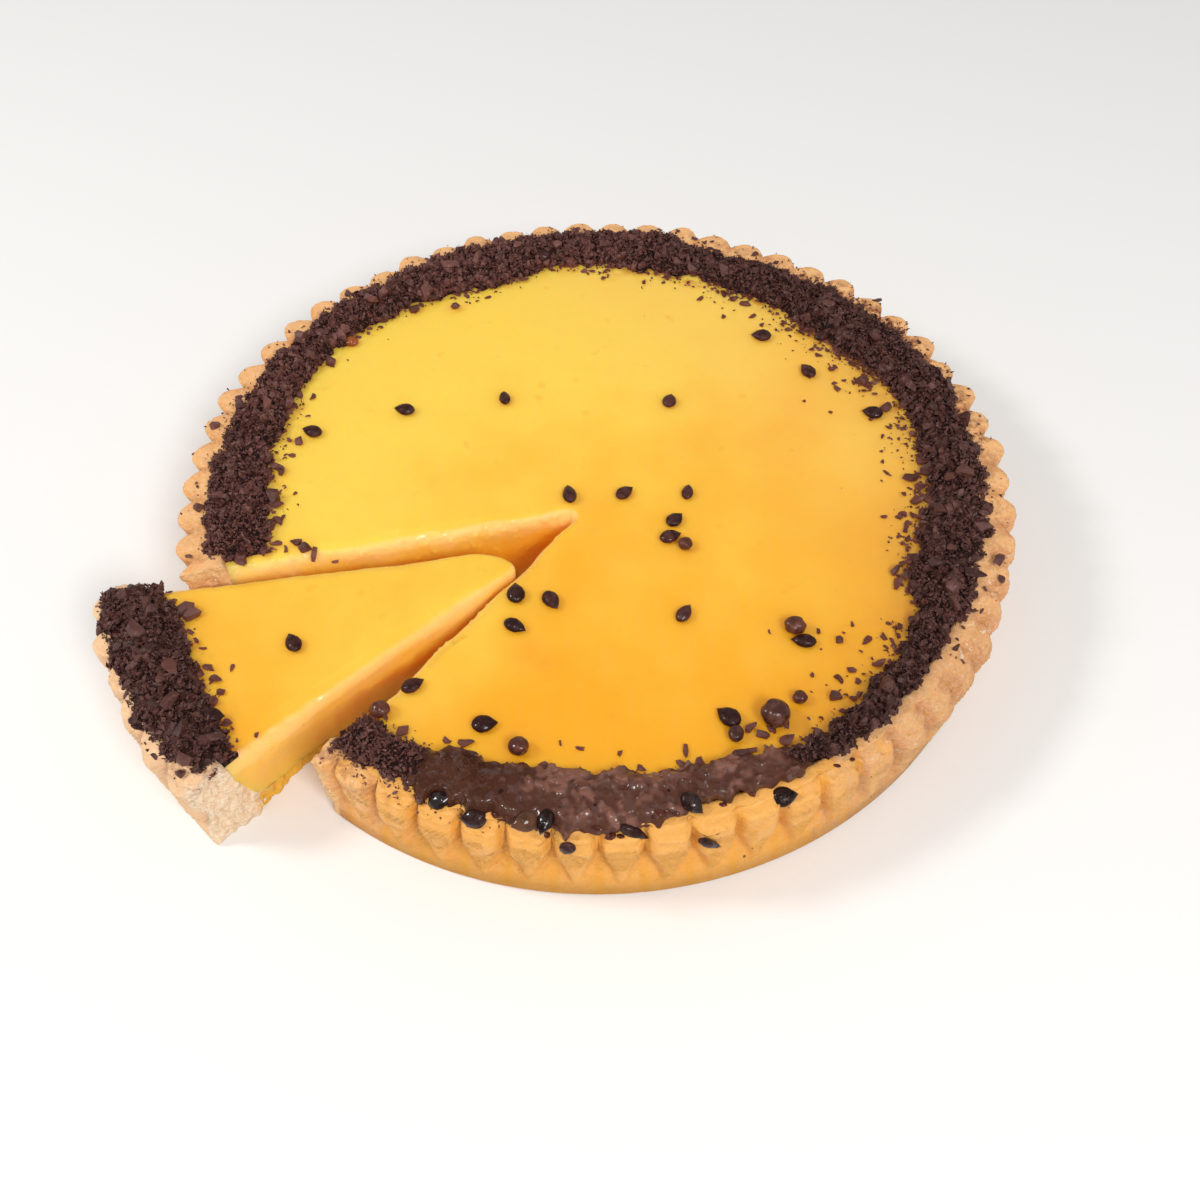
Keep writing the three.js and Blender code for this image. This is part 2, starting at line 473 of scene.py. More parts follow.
# A wedge whose two long faces are pushed outward by relief(point, height)
def wedgeCutter(knife, relief):
    path = knifePath(knife)
    levels = spread(cut["low"], cut["high"], int((cut["high"] - cut["low"]) / cut["step"]))
    rows = len(levels)
    verts = []
    for point, outward in path:
        for height in levels:
            push = relief(point, height)
            verts.append((point.x + outward.x * push, point.y + outward.y * push, height))
    last = len(path) - 1
    faces = []
    for i in range(last):
        for j in range(rows - 1):
            a = i * rows + j
            faces.append((a, a + 1, a + rows + 1, a + rows))
    faces.append(tuple(last * rows + j for j in range(rows)) + tuple(reversed(range(rows))))
    faces.append(tuple(i * rows for i in range(last + 1)))
    faces.append(tuple(i * rows + rows - 1 for i in reversed(range(last + 1))))
    cutter = makeObject("wedge", verts, faces)
    recalcNormals(cutter, splitFaces=True)
    return cutter


# the slice leans in towards the foot of its front face, but not out at the crust or at its tip
def draggedIn(point, height):
    offset = point - knives["slice"]["apex"]
    front = directionOf(offset.x, offset.y) > sum(knives["slice"]["sides"]) / 2
    share = smooth(104 * mm, 84 * mm, point.length) * smooth(34 * mm, 66 * mm, offset.length)
    return cut["under"] * share * front * smooth(tart["custardTop"], 3 * mm, height)


def crumbRelief(knife, seed):
    sign = knife["sign"]

    def relief(point, height):
        place = Vector((point.x, point.y, height)) / mm
        coarse = noise.noise(place / 3.1 + Vector((seed, 0, 0)))
        coarse += 0.8 * noise.noise(place / 5.5 + Vector((seed, 4, 0)))
        fine = noise.noise(place / 1.15 + Vector((0, seed, 0)))
        grain = abs(noise.noise(place / 0.8 + Vector((0, 0, seed))))
        push = sign * cut["crumb"] * (0.6 if sign > 0 else 1.0) * (coarse + 0.85 * fine + 0.8 * grain)
        return push - (draggedIn(point, height) if sign < 0 else 0)

    return relief


# Long shallow waves, small pits where bubbles were cut, and a flare that rounds the top edge
def custardRelief(knife, seed):
    sign = knife["sign"]

    def relief(point, height):
        place = Vector((point.x, point.y, height)) / mm
        slow = noise.noise(Vector((place.x / 14, place.y / 14, place.z / 9 + seed)))
        drag = noise.noise(Vector((place.x / 3.4, place.y / 3.4, place.z / 16 + seed)))
        lumps = noise.noise(place / 2.6 + Vector((seed, 0, 0)))
        pits = smooth(0.34, 0.55, noise.noise(place / 1.3 + Vector((0, seed, 0))))
        push = cut["drag"] * (0.9 * slow + 0.45 * drag + 0.22 * lumps) - max(sign, 0) * 0.3 * mm * pits
        below = tart["custardTop"] - height
        radius = cut["edgeRound"] * (1 + 0.35 * slow)
        if sign < 0:
            radius *= mix(0.42, 1.0, smooth(14 * mm, 40 * mm, (point - knife["apex"]).length))
            push -= draggedIn(point, height)
        if below < radius:
            inside = min(1.0, 1 - below / radius)
            push += sign * (radius - radius * math.sqrt(max(0.0, 1 - inside * inside)))
            if below < 0:
                push += sign * -below
        return push

    return relief


def setAttribute(piece, name, values):
    layer = piece.data.attributes.get(name) or piece.data.attributes.new(name, "FLOAT", "POINT")
    layer.data.foreach_set("value", values)


# stores rule(point, normal) on every point
def mark(piece, name, rule):
    setAttribute(piece, name, [rule(vert.co, vert.normal) for vert in piece.data.vertices])


# Notes how close each point is to a cut and how much it faces sideways, for the cut face's finish
def markCut(piece, knife, reach):
    back, front = (radians(side) for side in knife["sides"])
    middle = (back + front) / 2

    def closeness(point, normal):
        offset = point.xy - knife["apex"]
        if offset.x * math.cos(middle) + offset.y * math.sin(middle) < -3 * mm:
            return 0.0
        nearest = min(abs(offset.x * math.sin(a) - offset.y * math.cos(a)) for a in (back, front))
        return (1 - smooth(0.4 * reach, reach, nearest)) * (1 - smooth(0.55, 0.97, abs(normal.z)))

    mark(piece, "cut", closeness)


def carve(piece, knife, relief, markReach):
    cutter = wedgeCutter(knife, relief)
    modifier = piece.modifiers.new("knife", "BOOLEAN")
    modifier.operation = knife["keep"]
    modifier.object = cutter
    modifier.solver = "MANIFOLD"
    bakeModifiers(piece)
    bpy.data.objects.remove(cutter)
    markCut(piece, knife, markReach)


shell = {
    # for the tart; the names are the flute tree's inputs
    "shape": {
        "Foot Radius": 110.5 * mm,
        "Rim Radius": tart["rimRadius"],
        "Height": tart["height"],
        "Front Pull": 4.3 * mm,       # how much less the rim leans out at the front
        "Front Direction": 265.0,
        "Front Full": 32.0,
        "Front None": 62.0,
        "Front Flutes": 0.90,         # shallower flutes there
        "Front Lobe": 2.4,            # and broader lobes
        "Foot Fluting": 0.08,
        "Fade Height": 17 * mm,
        "Foot Lobe Width": 0.16,      # near the foot only a narrow ridge is left of each lobe
        "Soft Direction": 259.5,
        "Soft Full": 14.0,
        "Soft None": 23.0,
        "Flutes": 62.0,
        "Depth": 4.6 * mm,
        "Phase": 191.3,               # direction of one flute tip
        "Lobe Power": 1.5,            # higher makes broader lobes and narrower valleys
        "Crisp": 0.62,                # how much of each valley is a sharp fold
        "Worn Direction": 325.0,
        "Worn Spread": 32.0,
        "Worn Share": 0.62,
        "Worn Rounding": 3.2 * mm,
        "Lumps": 0.32 * mm,
        "Grain": 0.1 * mm,
        "Pits": 0.3 * mm,
        "Folds": 0.75 * mm,
        "Fold Step": 1.9 * mm,
    },
    # the slice's wall stands more upright and is fluted alike all along
    "sliceShape": {"Foot Radius": 113 * mm, "Front Pull": 0.0, "Front Flutes": 1.0, "Front Lobe": 0.0,
                   "Soft Direction": 90.0, "Soft Full": 1.0, "Soft None": 2.0, "Worn Direction": 242.0,
                   "Worn Spread": 24.0},
    "stepsPerFlute": 18,
    "dusty": {0: 0.3, 15: 0.8, 30: 1.0, 50: 1.0, 60: 0.3, 75: 0.35, 90: 0.4, 110: 0.35, 125: 0.2, 180: 0.12,
              225: 0.2, 235: 0.45, 252: 0.0, 310: 0.0},
    "edgeRound": 1.0 * mm,
}

crustColors = {
    "pale": (0.84, 0.43, 0.16, 1),
    "tan": (0.77, 0.35, 0.105, 1),
    "toast": (0.55, 0.23, 0.07, 1),
    "crumb": (0.94, 0.77, 0.57, 1),
    "crumbShade": (0.84, 0.59, 0.38, 1),
    "warmCrumb": (0.94, 0.63, 0.33, 1),
    "warmShade": (0.86, 0.49, 0.21, 1),
    "valley": (0.60, 0.245, 0.060, 1),
    "lobe": (0.87, 0.47, 0.18, 1),
    "blush": (0.62, 0.255, 0.10, 1),
    "cocoa": (0.24, 0.065, 0.030, 1),
    "soaked": (0.80, 0.43, 0.055, 1),
    "syrup": (0.82, 0.38, 0.046, 1),
    "speck": (0.09, 0.035, 0.02, 1),
}
crustLooks = {
    "tart": {"paleness": 0.0, "runoff": True, "shade": "warmShade", "light": "warmCrumb", "soaked": 1.0,
             "middle": (0, 0)},
    "slice": {"paleness": 0.6, "runoff": False, "shade": "crumbShade", "light": "crumb", "soaked": 1.0,
              "middle": tart["slicePlace"].translation.xy},
    "crumbs": {"paleness": 0.9, "runoff": False, "shade": "crumbShade", "light": "crumb", "soaked": 0.0,
               "middle": (0, 0)},
}


# Toasted pastry, pale crumb where it is cut, and a glossy orange run-off where syrup ran down the wall
def crustFinish(name, look):
    material, surface, place = newMaterial(name)
    x, y, z = xyz(place)
    cutFace, crease, worn, valley, fold = map(attribute, ("cut", "crease", "worn", "valley", "fold"))
    layered = vecCalc("MULTIPLY", place, (1.0, 1.0, 2.6))
    mottle = noiseAt(layered, 7 * mm, 3.0, 0.6)
    patches = noiseAt(place, 3.4 * mm, 3.0, 0.62)
    grain = noiseAt(place, 0.75 * mm, 3.0, 0.65)
    brim = ramp(z, tart["height"] - 6 * mm, tart["height"] - 0.5 * mm)
    baked = ramp(patches, 0.42, 0.68) * (brim * 0.14 + worn * 0.08 + 0.08)
    chips = worn * ramp(noiseAt(place, 2.2 * mm, 3.0, 0.6), 0.61, 0.66)
    raised = ramp(valley, 0.0, 0.3, 1.0, 0.0) * ramp(z, 2 * mm, 8 * mm) * (1.0 - 0.6 * look["paleness"])
    color = blendColor(ramp(mottle, 0.36, 0.66), crustColors["pale"], crustColors["tan"])
    color = paintOver(color, crustColors, [
        (baked * (1.0 - 0.5 * look["paleness"]), "toast"),
        # painted shade: the creases between the lobes are darkened in the toast colour
        (crease * 0.32, "toast"),
        # the worn side is browner, and its colour is also darkened as painted shade where the lamp falls
        # brightest
        (worn * ramp(patches, 0.3, 0.6, 0.5, 0.8), "blush"),
        (chips * 0.7, "crumb"),
        # painted shade: the valleys between the lobes are darkened
        (ramp(valley, 0.45, 0.95) * 0.7, "valley"),
        # painted light: the raised lobes are made lighter, less so under their folds
        (raised * ramp(fold, 0.0, 0.7, 0.55, 0.15), "lobe"),
        # painted shade under each fold
        (ramp(fold, 0.5, 1.0) * 0.2, "valley"),
        (ramp(grain, 0.35, 0.7, 0.0, 0.28), "crumb"),
        (look["paleness"] * 0.55, "crumb")])
    rough = ramp(mottle, 0.3, 0.7, 0.5, 0.66)
    if look["runoff"]:
        direction = directionAt(x, y)
        # painted shade: a little darker to the right of the front, where the lamp falls brightest
        color = scaled(color, ramp(awayFrom(direction, 315.0), 10.0, 26.0, 0.87, 1.0))
        streaks = noiseAt(vecCalc("MULTIPLY", place, (1.0, 1.0, 0.25)), 5 * mm)
        ran = ramp(awayFrom(direction, 271.0) + (streaks - 0.5) * 34.0, 25.0, 38.0, 1.0, 0.0)
        ran = ran * ramp(cutFace, 0.0, 0.4, 1.0, 0.0)
        color = blendColor(ran * (crease * 0.25 + 0.66), color, crustColors["syrup"])
        # painted shade: darker towards the foot
        color = scaled(color, ramp(z, 1.5 * mm, 8.5 * mm, 0.66, 1.0))
        rough = rough - ran * ramp(z, 12 * mm, 20 * mm) * 0.34
    crumbs = noiseAt(place, 1.3 * mm, 4.0, 0.7)
    crumbColor = blendColor(ramp(crumbs, 0.36, 0.62), crustColors[look["shade"]], crustColors[look["light"]])
    fromMiddle = vecCalc("SUBTRACT", place, (*look["middle"], 0.0))
    radius = vecCalc("LENGTH", vecCalc("MULTIPLY", fromMiddle, (1.0, 1.0, 0.0)))
    soaked = ramp(radius, 97 * mm, 101 * mm, 1.0, 0.0) * ramp(z, 4 * mm, 7 * mm, 1.0, 0.0)
    dust = noiseAt(place, 3.4 * mm, 4.0, 0.72)
    specks = cellsAt(place, 4.2 * mm)
    speckSize = addNode("ShaderNodeTexWhiteNoise", {"Vector": specks.other("Position")})
    speck = calc("LESS_THAN", specks, ramp(speckSize, 0.72, 1.0, 0.0, 0.11, soft=False))
    color = paintOver(blendColor(cutFace, color, crumbColor), crustColors, [
        (soaked * look["soaked"], "soaked"),
        (attribute("cocoa") * ramp(dust, 0.43, 0.62), "cocoa"),
        (speck * 0.75 * ramp(cutFace, 0.2, 0.6, 1.0, 0.0), "speck")])
    fine = noiseAt(layered, 0.55 * mm, 4.0, 0.6)
    relief = fine * 0.5 + patches * 0.8 + grain * (cutFace * 1.5 + 0.3)
    fillSockets(surface, {
        "Base Color": color,
        "Roughness": rough + cutFace * 0.3 + ramp(z, 6 * mm, 15 * mm, 0.2, 0.0),
        "Specular IOR Level": 0.22,
        "Subsurface Weight": 0.12,
        "Subsurface Radius": (1.0, 0.45, 0.2),
        "Subsurface Scale": 2.5 * mm,
        "Normal": bumpFrom(relief, 0.45 * mm, 0.8)})
    return material


def shellSection(foot):
    rim = tart["rimRadius"]
    top = tart["height"]
    inner = tart["cavityRim"]
    bend = shell["edgeRound"]
    points = [(r * mm, 0) for r in (0, 35, 70, 95, 104)]
    points += [(foot - 1.2 * mm, 0), (foot - 0.45 * mm, 0.25 * mm), (foot + 0.05 * mm, 0.8 * mm)]
    for z in spread(1.5 * mm, top - bend - 0.3 * mm, 52):
        points.append((mix(foot, rim, z / top), z))
    for angle in (10, 26, 42, 58, 74, 88):
        turn = radians(angle)
        points.append((rim + (math.cos(turn) - 1) * bend, top + (math.sin(turn) - 1) * bend))
    for r in spread(rim - bend - 0.8 * mm, inner + 1.0 * mm, 12):
        points.append((r, top - 0.02 * mm))
    points += [(inner + 0.3 * mm, top - 0.4 * mm), (inner, top - 1.2 * mm), (inner - 1.2 * mm, 20 * mm)]
    points += [(98.3 * mm, 8.8 * mm), (95 * mm, 5.4 * mm), (tart["cavityFloor"], tart["base"])]
    points += [(60 * mm, tart["base"]), (30 * mm, tart["base"]), (0, tart["base"])]
    return points


def fluteTree():
    given = newTree("fluteShell", shell["shape"])
    place = position()
    x, y, z = xyz(place)
    radius = radiusAt(x, y)
    angle = directionAt(x, y)
    rise = z / given("Height")
    wall = (given("Rim Radius") - given("Foot Radius")) * rise + given("Foot Radius")
    fromFront = awayFrom(angle, given("Front Direction"))
    frontShare = ramp(fromFront, given("Front Full"), given("Front None"), 1.0, 0.0)
    pull = frontShare * given("Front Pull") * rise
    soft = ramp(awayFrom(angle, given("Soft Direction")), given("Soft Full"), given("Soft None"), 1.0, 0.0)
    edge = radius - wall
    fluting = ramp(edge, -10.5 * mm, -1.6 * mm)
    turns = (angle - given("Phase")) * given("Flutes") / 360.0
    number = calc("FLOOR", turns + 0.5)
    whole = calc("FLOORED_MODULO", number, given("Flutes"))
    odd, oddTwo = (addNode("ShaderNodeTexWhiteNoise", {"W": whole + shift}, "Value", noise_dimensions="1D")
                   for shift in (0.0, 0.37))
    fromTip = calc("ABSOLUTE", (turns - number) * 2.0)
    # full width in the upper half, narrowing to a point near the foot
    width = ramp(rise, 0.16, 0.66, given("Foot Lobe Width"), 1.0, soft=False)
    acrossLobe = calc("MINIMUM", fromTip / width, 1.0)
    power = frontShare * ramp(rise, 0.35, 0.8) * given("Front Lobe") + given("Lobe Power")
    softLobe = ramp(acrossLobe ** power, 0.0, 1.0)
    crispLobe = acrossLobe ** (power + 0.8)
    lobe = softLobe + given("Crisp") * (crispLobe - softLobe)
    lobe = (lobe - 1.0) * ramp(rise, 0.1, 0.34) + 1.0
    onLobe = 1.0 - lobe
    away = awayFrom(angle, given("Worn Direction")) / given("Worn Spread")
    worn = calc("EXPONENT", away * away * -1.0)
    kept = 1.0 - given("Worn Share") * worn * (ramp(rise, 0.55, 1.0) * 0.75 + 0.25)
    fade = ramp(z, 0.0, given("Fade Height"), given("Foot Fluting"), 1.0)
    shallow = 1.0 - frontShare * (1.0 - given("Front Flutes"))
    brim = ramp(rise, 0.78, 1.0)
    rounding = given("Worn Rounding") * (worn + soft * 0.55) * brim * fluting
    # each lobe stands a little more or less proud, and carries V-shaped folds that hang lowest at its middle
    uneven = (oddTwo - 0.5) * fluting * onLobe * (1.5 * mm)
    drift = (noiseAt(place, 6 * mm) - 0.5) * (4 * mm)
    hang = z + fromTip * (-7 * mm) + odd * (5 * mm) + drift
    step = calc("FRACT", hang / given("Fold Step"))
    strength = ramp(noiseAt(vecCalc("MULTIPLY", place, (1.0, 1.0, 0.7)), 5 * mm, 1.0), 0.32, 0.55)
    folded = ramp(rise, 0.12, 0.35) * ramp(rise, 0.78, 0.95, 1.0, 0.0) * strength * fluting
    inward = (given("Depth") * fade * kept * shallow * lobe * fluting + rounding + uneven
              + (1.0 - step) * folded * given("Folds") + pull * fluting)
    shrink = 1.0 - inward / calc("MAXIMUM", radius, 1 * mm)
    sag = (noiseAt(place, 26 * mm, 1.0) - 0.5) * (1.8 * mm)
    bob = (odd - 0.5) * fluting * onLobe * (1.3 * mm)
    bites = ramp(noiseAt(place, 1.9 * mm, 2.0, 0.6), 0.5, 0.72)
    nibble = bites * ramp(edge, -2.2 * mm, -0.4 * mm) * (-0.9 * mm)
    drop = worn * fluting * fluting * (-1.5 * mm)
    sunk = soft * ramp(edge, -7 * mm, -1.5 * mm) * (-1.9 * mm)
    lift = (sag + bob + drop + nibble + sunk) * brim
    moved = addNode("ShaderNodeCombineXYZ", {0: x * shrink, 1: y * shrink, 2: z + lift})
    noted = storeField(given("Geometry"), "fold", ramp(step, 0.0, 1.0, 1.0, 0.0, soft=False) * folded)
    noted = storeField(noted, "valley", lobe * fluting * fade * shallow)
    shaped = addNode("GeometryNodeSetPosition", {"Geometry": noted, "Position": moved})
    # relief along the surface: soft lumps, fine grain, and open pits
    spot = position()
    flat = vecCalc("MULTIPLY", spot, (1.0, 1.0, 2.4))
    lumps = (noiseAt(flat, 8 * mm) - 0.5) * given("Lumps") * 2.0
    grain = (noiseAt(flat, 2.2 * mm, 3.0) - 0.5) * given("Grain") * 2.0
    pits = ramp(noiseAt(spot, 1.7 * mm, 1.0), 0.62, 0.74) * given("Pits")
    outer = ramp(xyz(spot)[2], 0.1 * mm, 2.5 * mm) * ramp(edge, -11.5 * mm, -9.5 * mm)
    return finishTree(pushOut(shaped, (lumps + grain - pits) * outer), given)


fluteShell = fluteTree()


def makeShell(name, changes, directions, ring, finish):
    inputs = {**shell["shape"], **changes, "Material": finish}
    section = shellSection(inputs["Foot Radius"])
    return sweptPiece(name, lambda direction: section, directions, ring, fluteShell, inputs)


# Notes the creases between the lobes, the worn side and the cocoa dust on the rim, for the finish
def markShell(piece):
    shape = shell["shape"]

    def crease(point, normal):
        turns = (directionOf(point.x, point.y) - shape["Phase"]) * shape["Flutes"] / 360
        outside = smooth(106 * mm, 109 * mm, point.xy.length) * smooth(0.5 * mm, 2 * mm, point.z)
        return outside * smooth(0.68, 1.0, abs(2 * (turns - round(turns))))

    def worn(point, normal):
        away = apart(directionOf(point.x, point.y), shape["Worn Direction"]) / shape["Worn Spread"]
        return math.exp(-away * away) * smooth(14 * mm, 26 * mm, point.z)

    def cocoa(point, normal):
        dusty = around(shell["dusty"], directionOf(point.x, point.y)) * smooth(22 * mm, 27 * mm, point.z)
        return dusty * smooth(116.5 * mm, 110 * mm, point.xy.length)

    mark(piece, "crease", crease)
    mark(piece, "worn", worn)
    mark(piece, "cocoa", cocoa)


stepsAround = int(shell["shape"]["Flutes"]) * shell["stepsPerFlute"]
allRound = [360 * i / stepsAround for i in range(stepsAround)]
crust = makeShell("crust", {}, allRound, True, crustFinish("bakedCrust", crustLooks["tart"]))
partRound = [185 + direction for direction in allRound[:360]]
sliceCrust = makeShell("sliceCrust", shell["sliceShape"], partRound, False,
                       crustFinish("paleCrust", crustLooks["slice"]))
for piece, knife, seed in ((crust, knives["notch"], 3.7), (sliceCrust, knives["slice"], 8.2)):
    carve(piece, knife, crumbRelief(knife, seed), 2.5 * mm)
    markShell(piece)
print("shell ready:", len(crust.data.polygons), len(sliceCrust.data.polygons), "faces")


filling = {
    "pale": (0.96, 0.64, 0.082, 1),
    "milky": (0.92, 0.54, 0.16, 1),
    "ripe": (0.90, 0.415, 0.012, 1),
    "deep": (0.85, 0.34, 0.015, 1),
    "cream": (0.99, 0.585, 0.18, 1),
    "edge": (0.62, 0.22, 0.02, 1),
    "tea": (0.62, 0.26, 0.028, 1),
    "cutHigh": (0.99, 0.575, 0.085, 1),
    "cutLow": (0.98, 0.42, 0.012, 1),
    "sliceLow": (0.99, 0.55, 0.075, 1),
    "ledge": (0.93, 0.39, 0.02, 1),
    # leftward: how much paler it gets to the left, as painted light; middle: the centre of the ring it was cut
    # from
    "whole": {"paleness": 0.5, "leftward": 0.6, "low": "cutLow", "band": (0.42, 0.94), "ledge": 0.0,
              "middle": (0, 0), "tip": knives["notch"]["apex"], "tipShare": 0.65},
    "slice": {"paleness": 0.69, "leftward": 0.02, "low": "sliceLow", "band": (0.25, 0.75), "ledge": 0.75,
              "middle": tart["slicePlace"].translation.xy, "tip": (0, 0), "tipShare": 0.0},
}
bedding = {"Top": tart["custardTop"], "Waves": 0.9 * mm}


# Set fruit curd under a thin clear glaze, painted paler towards the back and the left as painted sheen and
# light, riper in the middle and front
def custardFinish(name, look):
    material, surface, place = newMaterial(name)
    x, y, z = xyz(place)
    flat = vecCalc("MULTIPLY", place, (1.0, 1.0, 0.0))
    radius, fromTip = (vecCalc("DISTANCE", flat, (*look[spot], 0.0)) for spot in ("middle", "tip"))
    cutFace = attribute("cut")
    drift = noiseAt(place, 42 * mm)
    cloud = noiseAt(place, 13 * mm, 3.0, 0.55)
    curd = noiseAt(place, 4 * mm, 4.0, 0.6)
    # painted sheen and light: the curd is paler towards the back and the left, riper to the right and front
    sideways = calc("MINIMUM", x, 0.0) * -look["leftward"] + calc("MAXIMUM", x, 0.0) * -0.13
    back = (y * 0.44 + sideways) / (100 * mm)
    blush = back + (drift - 0.5) * 0.9 + (cloud - 0.5) * 0.35 + look["paleness"]
    streak = noiseAt(vecCalc("MULTIPLY", place, (3.0, 0.5, 1.0)), 9 * mm)
    bled = ramp(noiseAt(place, 3.5 * mm, 3.0, 0.6), 0.38, 0.62)
    color = blendColor(ramp(blush, 0.05, 0.95), filling["ripe"], filling["pale"])
    color = paintOver(color, filling, [
        (ramp(x * 0.8 + y * 0.6, 13 * mm, 75 * mm, 0.0, 0.27), "milky"),
        (ramp(noiseAt(place, 6.5 * mm), 0.66, 0.8, 0.0, 0.35), "deep"),
        (ramp(streak, 0.45, 0.75, 0.0, 0.05), "cream"),
        (attribute("stain") * ramp(cloud, 0.3, 0.6, 0.35, 0.8), "deep"),
        (attribute("halo") * bled, "edge"),
        (attribute("bleed") * ramp(cloud, 0.3, 0.7, 0.6, 1.0), "tea")])
    level = ramp(z, 4 * mm, tart["custardTop"] - 1.5 * mm, soft=False) + (curd - 0.5) * 0.16
    # a deeper orange band halfway up the slice's face towards its tip, deeper orange over its face near the
    # crust, and at the notch's tip
    halfway = ramp(level, 0.34, 0.46) * ramp(level, 0.5, 0.72, 1.0, 0.0)
    onLedge = calc("MAXIMUM", halfway * ramp(radius, 55 * mm, 75 * mm, 1.0, 0.0),
                   ramp(radius, 72 * mm, 98 * mm, 0.0, 0.55))
    sideColor = blendColor(ramp(level, *look["band"]), filling[look["low"]], filling["cutHigh"])
    sideColor = paintOver(sideColor, filling, [
        (onLedge * look["ledge"], "ledge"),
        (ramp(fromTip, 6 * mm, 24 * mm, look["tipShare"], 0.0), "ledge"),
        # painted highlight: the cut's rounded top edge is paler, in the cream colour
        (ramp(level + (cloud - 0.5) * 0.5, 0.72, 0.98), "cream")])
    # the cut is dull, with small wet spots near its top
    spots = ramp(noiseAt(place, 1.5 * mm), 0.58, 0.66) * ramp(level, 0.72, 0.86)
    dull = ramp(spots, 0.0, 1.0, 0.26, 0.02)
    dents = noiseAt(place, 2.2 * mm)
    wipe = noiseAt(vecCalc("MULTIPLY", place, (1.0, 0.16, 1.0)), 1.6 * mm)
    relief = cloud * 0.8 + dents * (cutFace * 0.1 + 0.1) + wipe * 0.03 + curd * cutFace * 0.15
    fillSockets(surface, {
        "Base Color": blendColor(cutFace, color, sideColor),
        "Roughness": ramp(cloud, 0.3, 0.7, 0.16, 0.24) + ramp(cutFace, 0.0, 0.5) * dull,
        "Specular IOR Level": 0.45,
        "Subsurface Weight": 0.65,
        "Subsurface Radius": (1.0, 0.58, 0.15),
        "Subsurface Scale": 7 * mm,
        "Normal": bumpFrom(relief, 0.5 * mm, 0.6)})
    return material


def custardSection():
    base = tart["base"] + 0.1 * mm
    edge = tart["cavityRim"] + 0.2 * mm
    points = [(0, base), (60 * mm, base), (tart["cavityFloor"] + 0.1 * mm, base), (95.1 * mm, 5.5 * mm),
              (98.4 * mm, 8.8 * mm), (tart["cavityRim"] - 1.0 * mm, 20 * mm),
              (edge, tart["custardTop"] - 0.4 * mm)]
    return points + [(r, tart["custardTop"]) for r in spread(edge - 1 * mm, 0, 52)]


def skinTree():
    given = newTree("restingSkin", bedding)
    place = position()
    swell = (noiseAt(place, 34 * mm, 1.0) - 0.5) * given("Waves")
    ripple = (noiseAt(place, 9 * mm, 1.0) - 0.5) * given("Waves") * 0.22
    onTop = ramp(xyz(place)[2] - given("Top"), -1 * mm, 0.0)
    lift = addNode("ShaderNodeCombineXYZ", {2: (swell + ripple) * onTop})
    return finishTree(addNode("GeometryNodeSetPosition", {"Geometry": given("Geometry"), "Offset": lift}),
                      given)


restingSkin = skinTree()


def makeCustard(name, directions, ring, finish):
    section = custardSection()
    return sweptPiece(name, lambda direction: section, directions, ring, restingSkin,
                      {**bedding, "Material": finish})


custard = makeCustard("custard", [360 * i / 256 for i in range(256)], True,
                      custardFinish("glazedCustard", filling["whole"]))
sliceCustard = makeCustard("sliceCustard", [185 + i for i in range(120)], False,
                           custardFinish("sliceCustard", filling["slice"]))
for piece, knife, seed in ((custard, knives["notch"], 1.3), (sliceCustard, knives["slice"], 5.9)):
    carve(piece, knife, custardRelief(knife, seed), 5 * mm)
print("custard ready:", len(custard.data.polygons), len(sliceCustard.data.polygons), "faces")


# The chocolate: a dark bed lies on the custard's edge and the rim, and shavings are piled on it
heap = {
    "height": 4.0 * mm,
    "middleRadius": 102 * mm,
    "wet": (244.5, 297.0),
    "step": 0.75 * mm,
    "rise": {0: 0.10, 0.1: 0.45, 0.32: 0.88, 0.62: 1.0, 0.88: 0.80, 1: 0.30},
    "inset": 1.3 * mm,     # the bed stays this far inside the pile's edge
    "ragged": 2.1 * mm,
}
# what the bed's Geometry Nodes tree is given
bedShape = {"Base": tart["custardTop"], "Lumps": 1.1 * mm, "Clods": 1.0 * mm}
# each pile's inner and outer edge, as {direction: radius in mm}, and the directions it runs between
piles = {
    "tart": {
        "inner": {0: 91, 20: 93, 40: 90.5, 60: 92.5, 80: 93, 95: 95.5, 110: 90.5, 130: 95.5, 150: 96, 170: 92,
                  185: 89, 232: 92, 240: 93, 265: 92, 280: 93.5, 300: 96, 320: 94.8, 330: 92.4, 340: 87,
                  350: 88.5},
        "outer": {0: 108.5, 20: 110, 40: 110, 54: 108, 62: 106, 70: 108, 78: 111, 84: 111.2, 100: 110.8,
                  116: 110.8, 130: 110.2, 150: 110, 170: 109.5, 188: 108, 232: 107.5, 240: 107, 245: 105.4,
                  258: 105.0, 268: 106.8, 275: 105.8, 281: 103.6, 290: 103.4, 298: 103.6, 306: 106, 320: 104.2,
                  340: 106.6},
        "arc": (232.4, 554.6),
        "wander": 2.4,
    },
    "slice": {
        "inner": {194: 96.5, 201: 96.5, 206: 94, 216: 92, 226: 95, 235: 97.5},
        "outer": {194: 113.5, 205: 113.8, 228: 112.5, 235: 108},
        "arc": (200.0, 234.6),
        "wander": 7.7,
    },
}

chocolateColors = {
    "gap": (0.012, 0.005, 0.004, 1),
    "dark": (0.042, 0.0135, 0.011, 1),
    "brown": (0.102, 0.037, 0.030, 1),
    "bloom": (0.185, 0.092, 0.080, 1),
    "red": (0.120, 0.034, 0.022, 1),
    "amber": (0.034, 0.007, 0.002, 1),
    "thin": (0.175, 0.047, 0.030, 1),
    "gold": (0.30, 0.13, 0.02, 1),
    "between": (0.098, 0.036, 0.023, 1),
    "glazed": (0.225, 0.096, 0.068, 1),
    "mauve": (0.32, 0.185, 0.155, 1),
}
chocolateLooks = {
    "dry": {"light": "brown", "frost": "bloom", "frosted": 0.6, "grit": 0.22 * mm},
    "wet": {"light": "glazed", "frost": "mauve", "frosted": 0.45, "grit": 0.12 * mm},
}


